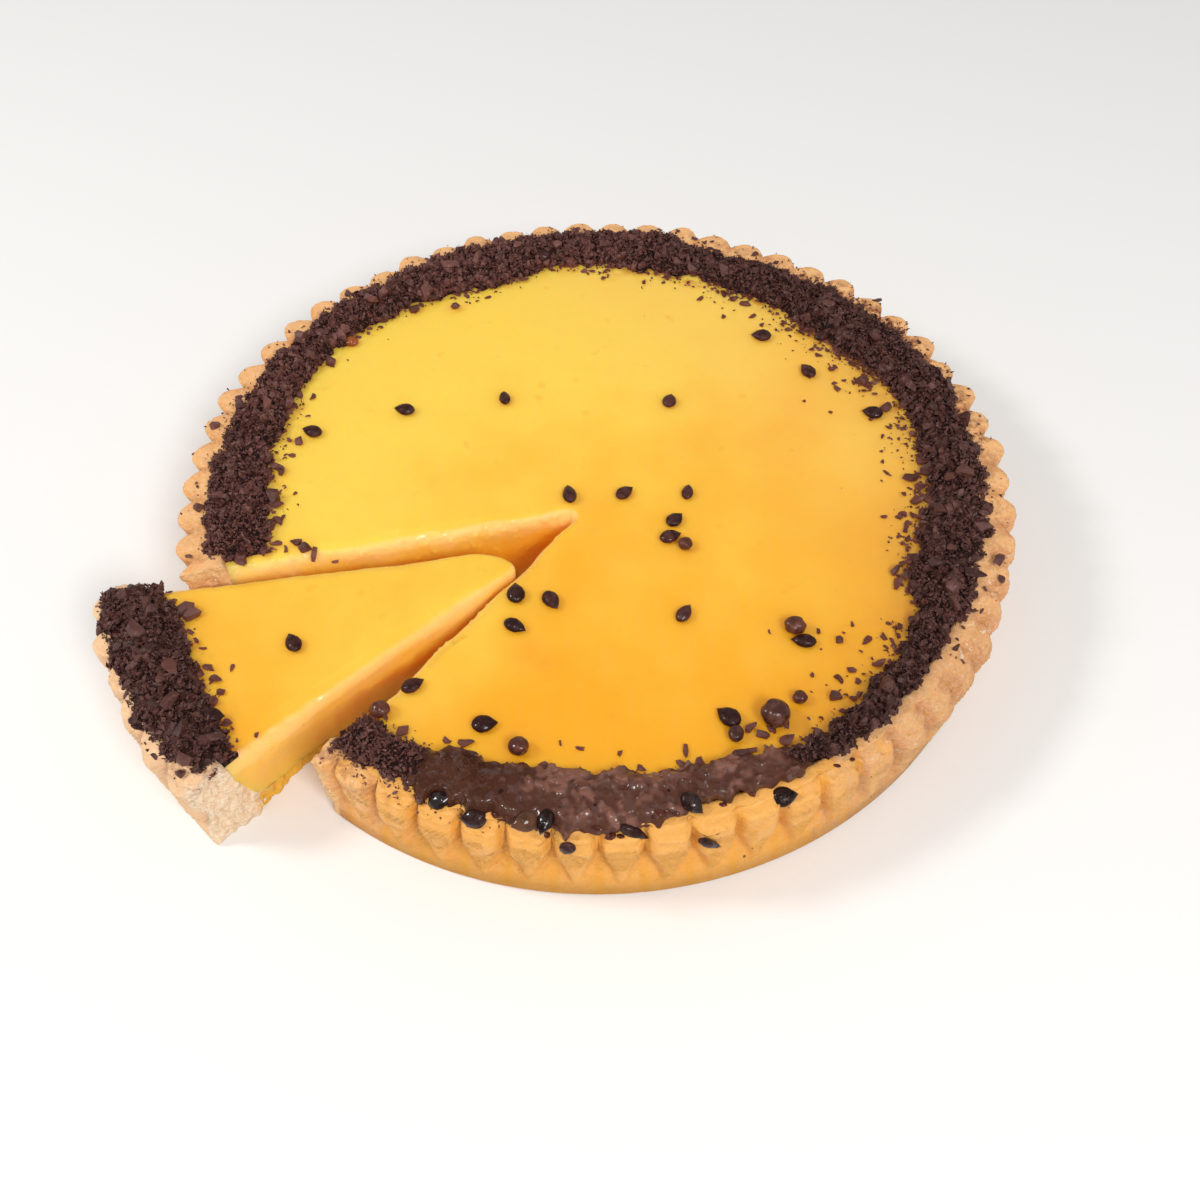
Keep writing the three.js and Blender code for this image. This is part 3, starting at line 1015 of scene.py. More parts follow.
def chocolateFinish(name, look):
    material, surface, place = newMaterial(name)
    tone = attribute("tone")
    fine = noiseAt(place, 1.4 * mm, 3.0, 0.6)
    frost = ramp(fine, 0.5, 0.72, 0.0, look["frosted"])
    wet = look is chocolateLooks["wet"]
    color = blendColor(ramp(tone * 0.75 + noiseAt(place, 9 * mm) * 0.6, 0.25, 0.95),
                       chocolateColors["dark"], chocolateColors[look["light"]])
    color = paintOver(color, chocolateColors, [
        (frost * tone if wet else frost, look["frost"]),
        (ramp(calc("FRACT", tone * 7.3), 0.78, 1.0, 0.0, 0.35), "red")])
    if wet:
        pooled = attribute("pooled")
        golden = ramp(noiseAt(place, 0.55 * mm), 0.56, 0.68)
        color = paintOver(color, chocolateColors, [
            (ramp(tone, 0.0, 0.45, 1.0, 0.0), "between"),
            (pooled * ramp(noiseAt(place, 5 * mm), 0.36, 0.6, 0.6, 1.0), "amber"),
            (pooled * pooled * golden * 0.4, "gold")])
        # only where syrup stands on it does it shine
        shine = noiseAt(place, 2.6 * mm, 2.0, 0.6)
        fillSockets(surface, {"Roughness": ramp(fine, 0.3, 0.7, 0.3, 0.5), "Specular IOR Level": 0.1,
                              "Coat Weight": ramp(shine, 0.5, 0.6, 0.04, 0.75), "Coat Roughness": 0.04,
                              "Coat IOR": 1.6})
    else:
        # painted light and shade: the pile is paler at its left and back, darker at its right; the slice,
        # farther out, is neither
        x, y, z = xyz(place)
        direction = directionAt(x, y)
        onTart = ramp(radiusAt(x, y), 112 * mm, 116 * mm, 1.0, 0.0)
        paler = ramp(awayFrom(direction, 162.0), 72.0, 97.0, 0.44, 0.0) * onTart + 1.0
        darker = ramp(awayFrom(direction, 314.0), 8.0, 18.0, 0.2, 0.0) * onTart
        # bits lying singly on the custard are thin and look redder
        single = ramp(z, tart["custardTop"] + 0.3 * mm, tart["custardTop"] + 1.8 * mm, 0.55, 0.0)
        color = blendColor(single, scaled(color, paler - darker), chocolateColors["thin"])
        fillSockets(surface, {"Roughness": ramp(fine, 0.3, 0.7, 0.34, 0.6), "Specular IOR Level": 0.3})
    grit = noiseAt(place, 0.6 * mm, 3.0, 0.6)
    fillSockets(surface, {"Base Color": color, "Normal": bumpFrom(grit, look["grit"], 0.8)})
    return material


# the bed under the shavings, painted dark as shade because little light gets down to it
def gapFinish():
    material, surface, place = newMaterial("chocolateDust")
    dust = noiseAt(place, 1.1 * mm, 3.0, 0.65)
    fillSockets(surface, {
        "Base Color": blendColor(ramp(dust, 0.4, 0.66), chocolateColors["gap"], chocolateColors["dark"]),
        "Roughness": ramp(dust, 0.3, 0.7, 0.6, 0.9),
        "Specular IOR Level": 0.15,
        "Normal": bumpFrom(dust, 0.4 * mm, 0.9)})
    return material


dryChocolate = chocolateFinish("shavedChocolate", chocolateLooks["dry"])
wetChocolate = chocolateFinish("glazedChocolate", chocolateLooks["wet"])
chocolateDust = gapFinish()


def heapSection(direction, pile, inset=0.0):
    def waver(period, lane):
        return noise.noise(Vector((direction / period, pile["wander"], lane)))

    top = tart["custardTop"]
    toEnd = min(direction - pile["arc"][0], pile["arc"][1] - direction)
    ragged = waver(2.1, 0)
    low = around(pile["inner"], direction) * mm + inset + heap["ragged"] * (ragged + 0.6 * waver(0.8, 9))
    raggedOutside = waver(1.7, 5) + 0.6 * waver(0.7, 14)
    high = around(pile["outer"], direction) * mm - inset * 0.6 + heap["ragged"] * raggedOutside
    tall = heap["height"] * (1 + 0.25 * waver(6, 20)) * mix(0.12, 1.0, smooth(0, 1.6, toEnd + 0.5 * ragged))
    rises = sorted(heap["rise"])
    points = [(high, top - 1.2 * mm), (low, top - 1.2 * mm)]
    for t in spread(0, 1, 26):
        after = next(k for k in rises if k >= t)
        before = rises[max(0, rises.index(after) - 1)]
        share = (t - before) / (after - before) if after > before else 0
        points.append((mix(low, high, t), top + tall * mix(heap["rise"][before], heap["rise"][after], share)))
    return points


def crumbleTree():
    given = newTree("crumbleBed", bedShape)
    spot = position()
    lumps = (noiseAt(spot, 5.5 * mm) - 0.5) * given("Lumps") * 2.4
    clods = (0.4 - cellsAt(spot, 3.4 * mm)) * given("Clods") * 1.6
    above = ramp(xyz(spot)[2] - given("Base"), -0.6 * mm, 0.3 * mm)
    return finishTree(pushOut(given("Geometry"), (lumps + clods) * above), given)


crumbleBed = crumbleTree()


# directions a step apart, along the middle of the pile
def columnsOf(arc, step):
    return spread(*arc, int((arc[1] - arc[0]) / math.degrees(step / heap["middleRadius"])))


def makeBed(name, pile):
    inputs = {**bedShape, "Material": chocolateDust}
    return sweptPiece(name, lambda direction: heapSection(direction, pile, heap["inset"]),
                      columnsOf(pile["arc"], heap["step"]), False, crumbleBed, inputs)


bed = makeBed("chocolateBed", piles["tart"])
sliceBed = makeBed("sliceChocolateBed", piles["slice"])
print("chocolate bed ready:", len(bed.data.polygons), "faces")


# Small shapes that are scattered. Each kind is a few different pieces in its own collection.
bits = {
    "flake": {"count": 10, "length": (1.9, 3.8), "narrow": (0.4, 0.85), "thick": (0.25, 0.55)},
    "shred": {"count": 7, "length": (2.2, 4.4), "width": (0.7, 1.5), "radius": (0.9, 2.6), "thick": 0.34 * mm},
    "crumb": {"count": 6, "size": (0.8, 1.4), "corners": 9, "low": 0.5, "longer": 1.0},
    "grit": {"count": 6, "size": (0.7, 1.2), "corners": 6, "low": 0.4, "longer": 1.5},
    "chunk": {"count": 8, "size": (2.0, 3.2), "corners": 18, "low": 0.4, "longer": 1.0},
}
draw = random.Random(41)
shapeHolder = bpy.data.collections.new("shapes")
scene.collection.children.link(shapeHolder)


def kindCollection(name):
    kind = bpy.data.collections.new(name)
    shapeHolder.children.link(kind)
    return kind


# a thin broken flake: an uneven polygon with a thickness, curved along its length
def flakeShape(kind, index):
    corners = draw.choice((5, 6, 7, 8))
    length = draw.uniform(*bits["flake"]["length"]) * mm / 2
    width = length * draw.uniform(*bits["flake"]["narrow"])
    thick = draw.uniform(*bits["flake"]["thick"]) * mm / 2
    bend = draw.uniform(-0.2, 0.7) / mm
    twist = draw.uniform(-0.4, 0.4) / mm
    rim = []
    for i in range(corners):
        angle = 2 * math.pi * (i + draw.uniform(-0.3, 0.3)) / corners
        reach = draw.uniform(0.55, 1.15)
        rim.append((length * reach * math.cos(angle), width * reach * math.sin(angle)))
    verts = [(0, 0, thick * draw.uniform(1.0, 1.5)), (0, 0, -thick * 0.8)]
    for side in (1, -1):
        for x, y in rim:
            verts.append((x, y, side * thick * draw.uniform(0.5, 1.0) + bend * x * x * 0.5 + twist * x * y))
    faces = []
    for i in range(corners):
        j = (i + 1) % corners
        faces += [(0, 2 + i, 2 + j), (1, 2 + corners + j, 2 + corners + i),
                  (2 + i, 2 + corners + i, 2 + corners + j, 2 + j)]
    piece = makeObject("flake" + str(index), verts, faces, False, kind)
    recalcNormals(piece)


# a shred that rolled up as it left the grater
def shredShape(kind, index):
    length = draw.uniform(*bits["shred"]["length"]) * mm
    width = draw.uniform(*bits["shred"]["width"]) * mm
    radius = draw.uniform(*bits["shred"]["radius"]) * mm
    thick = bits["shred"]["thick"]
    skew = draw.uniform(-0.5, 0.5)
    steps = 4
    verts = []
    for i in range(steps + 1):
        along = i / steps - 0.5
        angle = along * length / radius
        taper = 0.35 + 0.65 * math.sin(math.pi * (0.12 + 0.76 * i / steps))
        half = width / 2 * taper * draw.uniform(0.75, 1.15)
        for reach, side in ((radius, 1), (radius, -1), (radius - thick, -1), (radius - thick, 1)):
            verts.append((reach * math.sin(angle), side * half + skew * along * width,
                          reach * math.cos(angle) - radius))
    faces = [(0, 1, 2, 3), tuple(4 * steps + k for k in (3, 2, 1, 0))]
    for i in range(steps):
        for k in range(4):
            faces.append((4 * i + k, 4 * i + 4 + k, 4 * i + 4 + (k + 1) % 4, 4 * i + (k + 1) % 4))
    piece = makeObject("shred" + str(index), verts, faces, False, kind)
    recalcNormals(piece)


# a broken lump: the hull of a few random corners
def lumpShape(kind, name, look):
    work = bmesh.new()
    size = draw.uniform(*look["size"]) * mm
    stretch = Vector((draw.uniform(0.95, 1.3) * look["longer"], draw.uniform(0.7, 1.0),
                      draw.uniform(look["low"], 0.9)))
    for _ in range(look["corners"]):
        outward = Vector((draw.gauss(0, 1), draw.gauss(0, 1), draw.gauss(0, 1))).normalized()
        corner = outward * size / 2 * draw.uniform(0.85, 1.1)
        work.verts.new(Vector(a * b for a, b in zip(corner, stretch)))
    hull = bmesh.ops.convex_hull(work, input=work.verts)
    bmesh.ops.delete(work, geom=[g for g in hull["geom_interior"] if isinstance(g, bmesh.types.BMVert)],
                     context="VERTS")
    bmesh.ops.recalc_face_normals(work, faces=work.faces)
    mesh = bpy.data.meshes.new(name)
    work.to_mesh(mesh)
    work.free()
    kind.objects.link(bpy.data.objects.new(name, mesh))


flakes, shreds, crumbs, grit, chunks = map(kindCollection, ("flakes", "shreds", "crumbs", "grit", "chunks"))
for i in range(bits["flake"]["count"]):
    flakeShape(flakes, i)
for i in range(bits["shred"]["count"]):
    shredShape(shreds, i)
for kind, name in ((crumbs, "crumb"), (grit, "grit"), (chunks, "chunk")):
    for i in range(bits[name]["count"]):
        lumpShape(kind, name + str(i), bits[name])


def scatterTree():
    given = newTree("scatterBits", dict.fromkeys(
        ("Shapes", "Density", "Smallest", "Largest", "Tilt", "Lift", "Loose", "Seed")))
    cover = addNode("GeometryNodeInputNamedAttribute", {"Name": "cover"}, data_type="FLOAT")
    points = addNode("GeometryNodeDistributePointsOnFaces", {
        "Mesh": given("Geometry"), "Density": cover * given("Density"), "Seed": given("Seed")},
        distribute_method="RANDOM")
    lean = addNode("FunctionNodeRandomValue", {"Seed": given("Seed") + 1.0, 0: (-1, -1, -1), 1: (1, 1, 1)},
                   data_type="FLOAT_VECTOR")
    most = addNode("ShaderNodeCombineXYZ", {0: given("Tilt"), 1: given("Tilt"), 2: math.pi})
    tilt = addNode("FunctionNodeEulerToRotation", {0: vecCalc("MULTIPLY", lean, most)})
    turned = addNode("FunctionNodeRotateRotation", {0: points.other("Rotation"), 1: tilt},
                     rotation_space="LOCAL")
    size = ramp(randomAt(given("Seed") + 2.0) ** 1.6, 0.0, 1.0, given("Smallest"), given("Largest"), soft=False)
    height = given("Lift") + randomAt(given("Seed") + 4.0) * given("Loose")
    lifted = addNode("GeometryNodeTranslateInstances", {
        "Instances": shapesOn(points, given, turned, size),
        "Translation": addNode("ShaderNodeCombineXYZ", {2: height}), "Local Space": False})
    return finishTree(storeField(lifted, "tone", randomAt(given("Seed") + 3.0), "INSTANCE"), given)


scatterBits = scatterTree()


# Scatters a kind of bit over the ground piece. cover(point, normal) is the share of full density there,
# lift and loose are in mm: how high every bit sits, and how much higher some do.
def scatter(name, ground, cover, shapes, perSquareMm, sizes, tilt, lift, loose, seed, finish=dryChocolate):
    piece = bpy.data.objects.new(name, ground.data.copy())
    scene.collection.objects.link(piece)
    mark(piece, "cover", cover)
    addModifier(piece, scatterBits, {
        "Shapes": shapes, "Density": perSquareMm * 1e6, "Smallest": sizes[0], "Largest": sizes[1], "Tilt": tilt,
        "Lift": lift * mm, "Loose": loose * mm, "Seed": seed, "Material": finish})
    return bakeModifiers(piece)


def wetness(direction):
    start, end = heap["wet"]
    return smooth(start - 1.5, start + 1.5, direction) * (1 - smooth(end - 2.5, end + 1.5, direction))


# the pile on the bed: share(direction) of full density, thinner where noise says so, none under the wet coat
def onBed(share):
    def cover(point, normal):
        direction = directionOf(point.x, point.y)
        patchy = 0.88 + 0.5 * noise.noise(point / (4.5 * mm))
        return share(direction) * patchy * smooth(-0.2, 0.25, normal.z) * (1 - 0.97 * wetness(direction))

    return cover


# how coarse the shavings are round the tart: broad curls and lumps to the right, fine shreds to the left
coarse = {0: 1.0, 45: 0.85, 70: 0.7, 110: 0.75, 150: 0.6, 180: 0.25, 205: 0.15, 230: 0.05, 242: 0.0, 300: 0.4,
          335: 1.0}


def scatterPile(prefix, ground, coarse, amount, seed):
    def fine(d):
        return 1.15 - 0.75 * around(coarse, d)

    def rough(d):
        return 0.15 + 0.85 * around(coarse, d)

    def broad(d):
        return max(0.0, around(coarse, d) - 0.1)

    def even(d):
        return 1.0

    kinds = [
        ("Flakes", rough, flakes, 0.42, (0.45, 1.15), 0.8, 0.15, 0.9, 12),
        ("FineShreds", fine, shreds, 0.52, (0.35, 0.75), 1.0, 0.3, 1.1, 24),
        ("Curls", rough, shreds, 0.10, (0.7, 1.3), 0.7, 0.4, 0.9, 36),
        ("Crumbs", even, crumbs, 0.80, (0.4, 1.1), 1.3, 0.1, 1.1, 48),
        ("Grit", even, grit, 2.0, (0.45, 1.15), 1.4, 0.3, 1.4, 54),
        ("Lumps", rough, chunks, 0.09, (0.55, 1.25), 1.2, 0.2, 0.8, 60),
        ("Plates", broad, chunks, 0.012, (1.2, 2.2), 0.7, 0.3, 0.8, 66)]
    return [scatter(prefix + label, ground, onBed(how), shapes, density * amount, sizes, tilt, lift, loose,
                    seed + offset)
            for label, how, shapes, density, sizes, tilt, lift, loose, offset in kinds]


pile = scatterPile("chocolate", bed, coarse, 1.0, 0)
slicePile = scatterPile("sliceChocolate", sliceBed, {200: 0.9, 235: 0.6}, 1.05, 200)
print("shavings ready:", [len(piece.data.polygons) for piece in pile + slicePile])


# Loose bits that fell beside the pile: thick near it and thinning out, more of them to the right
apron = {
    "insideReach": {0: 5.5, 30: 6.0, 60: 5.0, 90: 2.2, 140: 2.6, 175: 3.2, 200: 2.0, 240: 3.0, 290: 3.0,
                    325: 4.5},
    "insideShare": {0: 0.9, 30: 0.9, 60: 0.8, 90: 0.5, 140: 0.32, 175: 0.34, 200: 0.3, 236: 0.5, 243: 0.12,
                    296: 0.12, 308: 0.4, 325: 0.5},
    "outsideReach": {0: 2.2, 35: 4.5, 60: 3.2, 90: 3.0, 140: 2.2, 190: 2.0, 240: 2.5, 280: 0.8, 325: 1.3},
    "outsideShare": {0: 0.12, 20: 0.55, 35: 0.9, 60: 0.35, 90: 0.4, 140: 0.3, 190: 0.25, 240: 0.8, 280: 0.1,
                     325: 0.12},
    "farthest": 26,     # mm in from the pile
}


def inArc(pile, direction):
    start, end = pile["arc"]
    return start < direction < end or start < direction + 360 < end


# Full density at the pile's edge, falling off over the reach. A reachShare below 1 keeps coarse bits closer.
def apronCover(pile, reachShare, gate):
    def cover(point, normal):
        direction = directionOf(point.x, point.y)
        radius = point.xy.length / mm
        if normal.z < 0.5 or point.z < tart["custardTop"] - 2 * mm or not inArc(pile, direction):
            return 0
        patchy = smooth(-0.1 - gate, 0.35, noise.noise(point / (5 * mm)) + 0.15)
        within = around(pile["inner"], direction) - radius
        beyond = radius - around(pile["outer"], direction)
        if within > -2.5 and radius < 100:
            reach = around(apron["insideReach"], direction) * reachShare
            share = around(apron["insideShare"], direction)
            return share * math.exp(-max(0, within) / reach) * (within < apron["farthest"]) * patchy
        if beyond > -2.5 and radius > 100:
            reach = around(apron["outsideReach"], direction)
            share = around(apron["outsideShare"], direction)
            return share * math.exp(-max(0, beyond) / reach) * patchy
        return 0

    return cover


nearEdge = apronCover(piles["tart"], 0.42, 0.3)
farther = apronCover(piles["tart"], 1.0, 0.0)
sliceApron = apronCover(piles["slice"], 0.5, 0.2)
loose = [scatter(*row) for row in (
    ("edgeFlakes", custard, nearEdge, flakes, 0.34, (0.3, 0.95), 0.45, 0.2, 0.5, 97),
    ("edgeGrit", custard, nearEdge, grit, 0.9, (0.5, 1.25), 1.4, 0.1, 0.5, 98),
    ("edgeShreds", custard, nearEdge, shreds, 0.30, (0.45, 1.0), 0.45, 0.3, 0.5, 99),
    ("looseFlakes", custard, farther, flakes, 0.12, (0.3, 1.0), 0.14, 0.22, 0, 101),
    ("looseCrumbs", custard, farther, crumbs, 0.20, (0.4, 1.25), 1.2, 0.12, 0, 109),
    ("rimFlakes", crust, nearEdge, flakes, 0.24, (0.3, 0.95), 0.4, 0.2, 0.3, 121),
    ("rimGrit", crust, nearEdge, grit, 1.0, (0.45, 1.2), 1.4, 0.1, 0.4, 122),
    ("rimCrumbs", crust, farther, crumbs, 0.30, (0.3, 1.1), 1.2, 0.1, 0, 133))]
sliceLoose = [scatter(*row) for row in (
    ("sliceLooseFlakes", sliceCustard, sliceApron, flakes, 0.40, (0.4, 1.1), 0.3, 0.2, 0.3, 301),
    ("sliceLooseCrumbs", sliceCustard, sliceApron, crumbs, 0.40, (0.25, 1.0), 1.2, 0.12, 0, 303),
    ("sliceRimCrumbs", sliceCrust, sliceApron, crumbs, 0.40, (0.25, 1.0), 1.2, 0.12, 0, 305))]
print("loose bits ready:", [len(piece.data.polygons) for piece in loose + sliceLoose])


# Where syrup ran, the shavings softened into one smooth, wet, lumpy coat that hangs over the rim
wet = {
    "arc": (243.6, 299.0),
    "spill": 0.9 * mm,
    "drape": (0.7 * mm, 2.2 * mm),    # how far the coat hangs out and down past the rim
    "drapeEnd": (275.0, 280.0),       # beyond this it stops short of the rim
    "step": 0.5 * mm,
    "voxel": 0.42 * mm,
    "bulge": 0.5 * mm,
    "lip": 1.5 * mm,
    "melting": 5,
    "amberAt": (251.5, 8.5),
}


def wetSection(direction):
    start, end = wet["arc"]
    toEnd = smooth(0, 3.5, min(direction - start, end - direction))
    runs = 0.5 + 1.7 * max(0.0, noise.noise(Vector((direction / 3.3, 31, 0))))
    hangs = 1 - 0.8 * smooth(*wet["drapeEnd"], direction)
    points = heapSection(direction, piles["tart"])
    high, low = points[0][0], points[1][0]
    section = []
    for radius, height in points:
        across = (radius - low) / (high - low)
        spill = smooth(0.55, 1.0, across) * wet["spill"] * runs
        radius += toEnd * (spill - 0.6 * mm * smooth(0.5, 0.0, across))
        if height > tart["custardTop"]:
            bulge = wet["bulge"] * (1 - 0.8 * across) + wet["lip"] * smooth(0.6, 0.95, across)
            height += toEnd * bulge - (1 - toEnd) * 0.8 * mm
        section.append((radius, height))
    out, down = (size * hangs for size in wet["drape"])
    edge, height = section[-1]
    out *= toEnd
    section += [(edge + out * 0.7, height - down * 0.35), (edge + out, height - down * (0.6 + 0.25 * runs))]
    section[0] = (edge + out * 0.6, section[-1][1] - 0.7 * mm)
    return section


def makeWetCoat():
    start, end = wet["arc"]
    middle, reach = wet["amberAt"]
    core = sweep("wetCore", wetSection, columnsOf(wet["arc"], wet["step"]), False)

    def syrupAt(direction):
        return math.exp(-((direction - middle) / reach) ** 2)

    def cover(point, normal):
        direction = directionOf(point.x, point.y)
        syrupy = syrupAt(direction) * smooth(93 * mm, 96 * mm, point.xy.length)
        inside = smooth(0.5, 3, direction - start) * smooth(0.5, 3, end - direction)
        return smooth(0.0, 0.4, normal.z) * inside * (1 - 0.97 * syrupy)

    # the shavings inside it: most of them where the coat is thin, along its inner edge
    def innerCover(point, normal):
        direction = directionOf(point.x, point.y)
        fromInner = point.xy.length - around(piles["tart"]["inner"], direction) * mm
        return cover(point, normal) * smooth(6 * mm, 1 * mm, fromInner)

    drowned = [scatter(*row, None) for row in (
        ("drownedFlakes", core, cover, flakes, 0.12, (0.5, 1.1), 0.5, 0.0, 0.5, 151),
        ("drownedEdge", core, innerCover, flakes, 0.30, (0.6, 1.5), 0.45, 0.1, 0.6, 155),
        ("drownedCrumbs", core, cover, crumbs, 0.42, (0.6, 1.3), 1.2, 0.0, 0.5, 163),
        ("drownedLumps", core, cover, chunks, 0.04, (0.5, 1.0), 1.2, -0.2, 0.5, 175))]
    # every drowned bit keeps its own shade; between them is only dark syrup
    work = bmesh.new()
    shades = [0.0] * len(core.data.polygons)
    for part in [core] + drowned:
        if part is not core:
            tones = part.data.attributes["tone"].data
            shades += [0.3 + 0.7 * tones[face.vertices[0]].value for face in part.data.polygons]
        work.from_mesh(part.data)
        bpy.data.objects.remove(part)
    nearest = BVHTree.FromBMesh(work)
    coat = makeObject("wetChocolate", [], [])
    work.to_mesh(coat.data)
    work.free()
    remesh = coat.modifiers.new("melt", "REMESH")
    remesh.mode = "VOXEL"
    remesh.voxel_size = wet["voxel"]
    soften = coat.modifiers.new("soften", "SMOOTH")
    soften.factor = 0.5
    soften.iterations = 4
    bakeModifiers(coat)
    coat.data.shade_smooth()
    coat.data.materials.clear()
    coat.data.materials.append(wetChocolate)
    tones = []
    pooled = []
    for vert in coat.data.vertices:
        direction = directionOf(vert.co.x, vert.co.y)
        radius = vert.co.xy.length
        low = 1 - smooth(2.0 * mm, 4.2 * mm, vert.co.z - tart["custardTop"])
        # the shavings are paler along the inner edge, where they stayed drier
        drift = 1 + 1.1 * noise.noise(vert.co / (7 * mm))
        drier = mix(1.0, 0.55, smooth(94 * mm, 103 * mm, radius)) * mix(0.6, 1.0, smooth(248, 262, direction))
        tones.append(shades[nearest.find_nearest(vert.co)[2]] * drift * drier)
        outer = smooth(89 * mm, 95 * mm, radius)
        pooled.append(outer * (0.12 + 0.88 * syrupAt(direction)) * mix(0.7, 1.0, low))
    # the shades melt into each other
    for _ in range(wet["melting"]):
        total = list(tones)
        count = [1] * len(tones)
        for edge in coat.data.edges:
            a, b = edge.vertices
            total[a] += tones[b]
            total[b] += tones[a]
            count[a] += 1
            count[b] += 1
        tones = [t / c for t, c in zip(total, count)]
    setAttribute(coat, "tone", tones)
    setAttribute(coat, "pooled", pooled)
    return coat


wetCoat = makeWetCoat()
print("wet coat ready:", len(wetCoat.data.polygons), "faces")


# Seeds, pearls and larger bits are set down one by one, so each needs the height of what is under it
def groundOf(pieces):
    work = bmesh.new()
    for piece in pieces:
        work.from_mesh(piece.data)
    return BVHTree.FromBMesh(work)


tartGround = groundOf([custard, crust, bed, wetCoat])
sliceGround = groundOf([sliceCustard, sliceCrust, sliceBed])


# rays that find a surface start this far up or out, in mm, clear of every piece
rayStart = {"up": 60, "out": 140}


def dropTo(ground, x, y):
    return ground.ray_cast(Vector((x, y, rayStart["up"] * mm)), Vector((0, 0, -1)))[:2]


# a rotation that stands on the normal and is turned by degrees about it
def standing(normal, turn, lean=0.0):
    flat = Matrix.Rotation(radians(turn), 3, "Z") @ Matrix.Rotation(radians(lean), 3, "Y")
    return (Vector((0, 0, 1)).rotation_difference(normal).to_matrix() @ flat).to_euler()


# a passion fruit seed: a flat oval drawn to a point at one end, its skin finely pitted
seed = {
    "length": 6.0 * mm,
    "widths": (4.4 * mm, 4.9 * mm, 4.0 * mm),
    "thick": 2.8 * mm,
    "point": 0.35 * mm,
    "pits": 0.13 * mm,
    "rings": 16,
    "around": 18,
}
seedColors = {
    "dark": (0.026, 0.008, 0.007, 1),
    "skin": (0.085, 0.027, 0.022, 1),
    "pulp": (0.17, 0.07, 0.035, 1),
    "wetDark": (0.007, 0.0025, 0.002, 1),
    "wetSkin": (0.026, 0.008, 0.006, 1),
    "redPulp": (0.50, 0.13, 0.035, 1),
}


def seedShape(kind, index, width):
    verts = [(-seed["length"] / 2, 0, 0)]
    for i in range(1, seed["rings"]):
        t = i / seed["rings"]
        half = math.sin(math.pi * t ** 0.9) ** 0.66 * (1 - 0.14 * t)
        for j in range(seed["around"]):
            angle = 2 * math.pi * j / seed["around"]
            point = Vector(((t - 0.5) * seed["length"], half * width / 2 * math.cos(angle),
                            half * seed["thick"] / 2 * math.sin(angle)))
            pit = noise.noise(point / (0.8 * mm) + Vector((index * 9, 0, 0)))
            verts.append(point + Vector((0, math.cos(angle), math.sin(angle))) * seed["pits"] * pit)
    verts.append((seed["length"] / 2 + seed["point"], 0, 0))
    count = seed["around"]
    faces = []
    for j in range(count):
        k = (j + 1) % count
        faces.append((0, 1 + k, 1 + j))
        faces.append((len(verts) - 1, len(verts) - 1 - count + j, len(verts) - 1 - count + k))
        for i in range(seed["rings"] - 2):
            a = 1 + i * count
            faces.append((a + j, a + k, a + count + k, a + count + j))
    recalcNormals(makeObject("seed" + str(index), verts, faces, True, kind))


def ballShape(kind, index, radius, lumpiness, size, flatten, subdivisions):
    work = bmesh.new()
    bmesh.ops.create_icosphere(work, subdivisions=subdivisions, radius=radius)
    for vert in work.verts:
        vert.co += vert.co.normalized() * lumpiness * noise.noise(vert.co / size + Vector((index * 5, 3, 8)))
        vert.co.z *= flatten
    mesh = bpy.data.meshes.new(kind.name + str(index))
    work.to_mesh(mesh)
    work.free()
    mesh.shade_smooth()
    kind.objects.link(bpy.data.objects.new(mesh.name, mesh))


def placeTree():
    given = newTree("placeShapes", dict.fromkeys(("Shapes", "Seed")))
    facing, stretch = (addNode("GeometryNodeInputNamedAttribute", {"Name": name}, data_type="FLOAT_VECTOR")
                       for name in ("facing", "stretch"))
    points = addNode("GeometryNodeMeshToPoints", {"Mesh": given("Geometry")})
    placed = shapesOn(points, given, addNode("FunctionNodeEulerToRotation", {0: facing}), stretch)
    return finishTree(storeField(placed, "tone", randomAt(given("Seed")), "INSTANCE"), given)


placeShapes = placeTree()


# Puts one of the shapes at each place: (point, rotation, stretch)
def placeAll(name, places, shapes, finish, chosen=5):
    points, facings, stretches = zip(*places)
    cloud = makeObject(name, points, [])
    for label, values in (("facing", facings), ("stretch", stretches)):
        layer = cloud.data.attributes.new(label, "FLOAT_VECTOR", "POINT")
        layer.data.foreach_set("vector", [number for value in values for number in value])
    addModifier(cloud, placeShapes, {"Shapes": shapes, "Seed": chosen, "Material": finish})
    return bakeModifiers(cloud)


# seeds lying on the custard: x, y, direction of the pointed end, size
seedPlaces = [
    (-56, 30, 170, 1.0), (21.5, 32.5, 75, 0.9), (-27, 34.5, 100, 0.88), (7.5, -3.5, 40, 0.95),
    (51, 60.5, 175, 1.0), (-7.7, -4, 100, 1.05), (63.5, 44.5, 120, 1.0), (-21.5, -38.3, 95, 1.06),
    (22, -45.5, 58, 1.0), (-12.3, -40.5, 300, 1.04), (21, -13.5, 45, 0.92), (-21.5, -48.7, 330, 1.04),
    (-46.2, -66.6, 30, 1.0), (-28, -77.9, 5, 1.05), (25, -3.5, 80, 0.88), (19.5, -19.5, 20, 1.0),
    (80.5, 26.5, 165, 1.0), (52, -54.5, 172, 1.05), (-82, 21.5, 160, 1.0), (31.4, -76.8, 140, 1.1),
    (69.5, 60, 20, 0.9), (-17, 97, 175, 1.0),
]
# seeds caught in the wet coat: direction, distance, turn, lean
caughtSeeds = [(249.5, 105.7, 20, -10), (254.3, 107.3, 175, -8), (263.2, 106.2, 250, -15),
               (281.6, 103.6, 320, -12), (293.2, 107.6, 10, -12)]
# seeds stuck to the outside of the wall: direction, height, turn, stretch
wallSeeds = [(266.0, 26.2, 250, (0.78, 0.85, 0.8)), (282.9, 25.6, -50, (1.5, 0.62, 0.85)),
             (273.9, 27.6, -32, (1.3, 0.75, 0.95))]
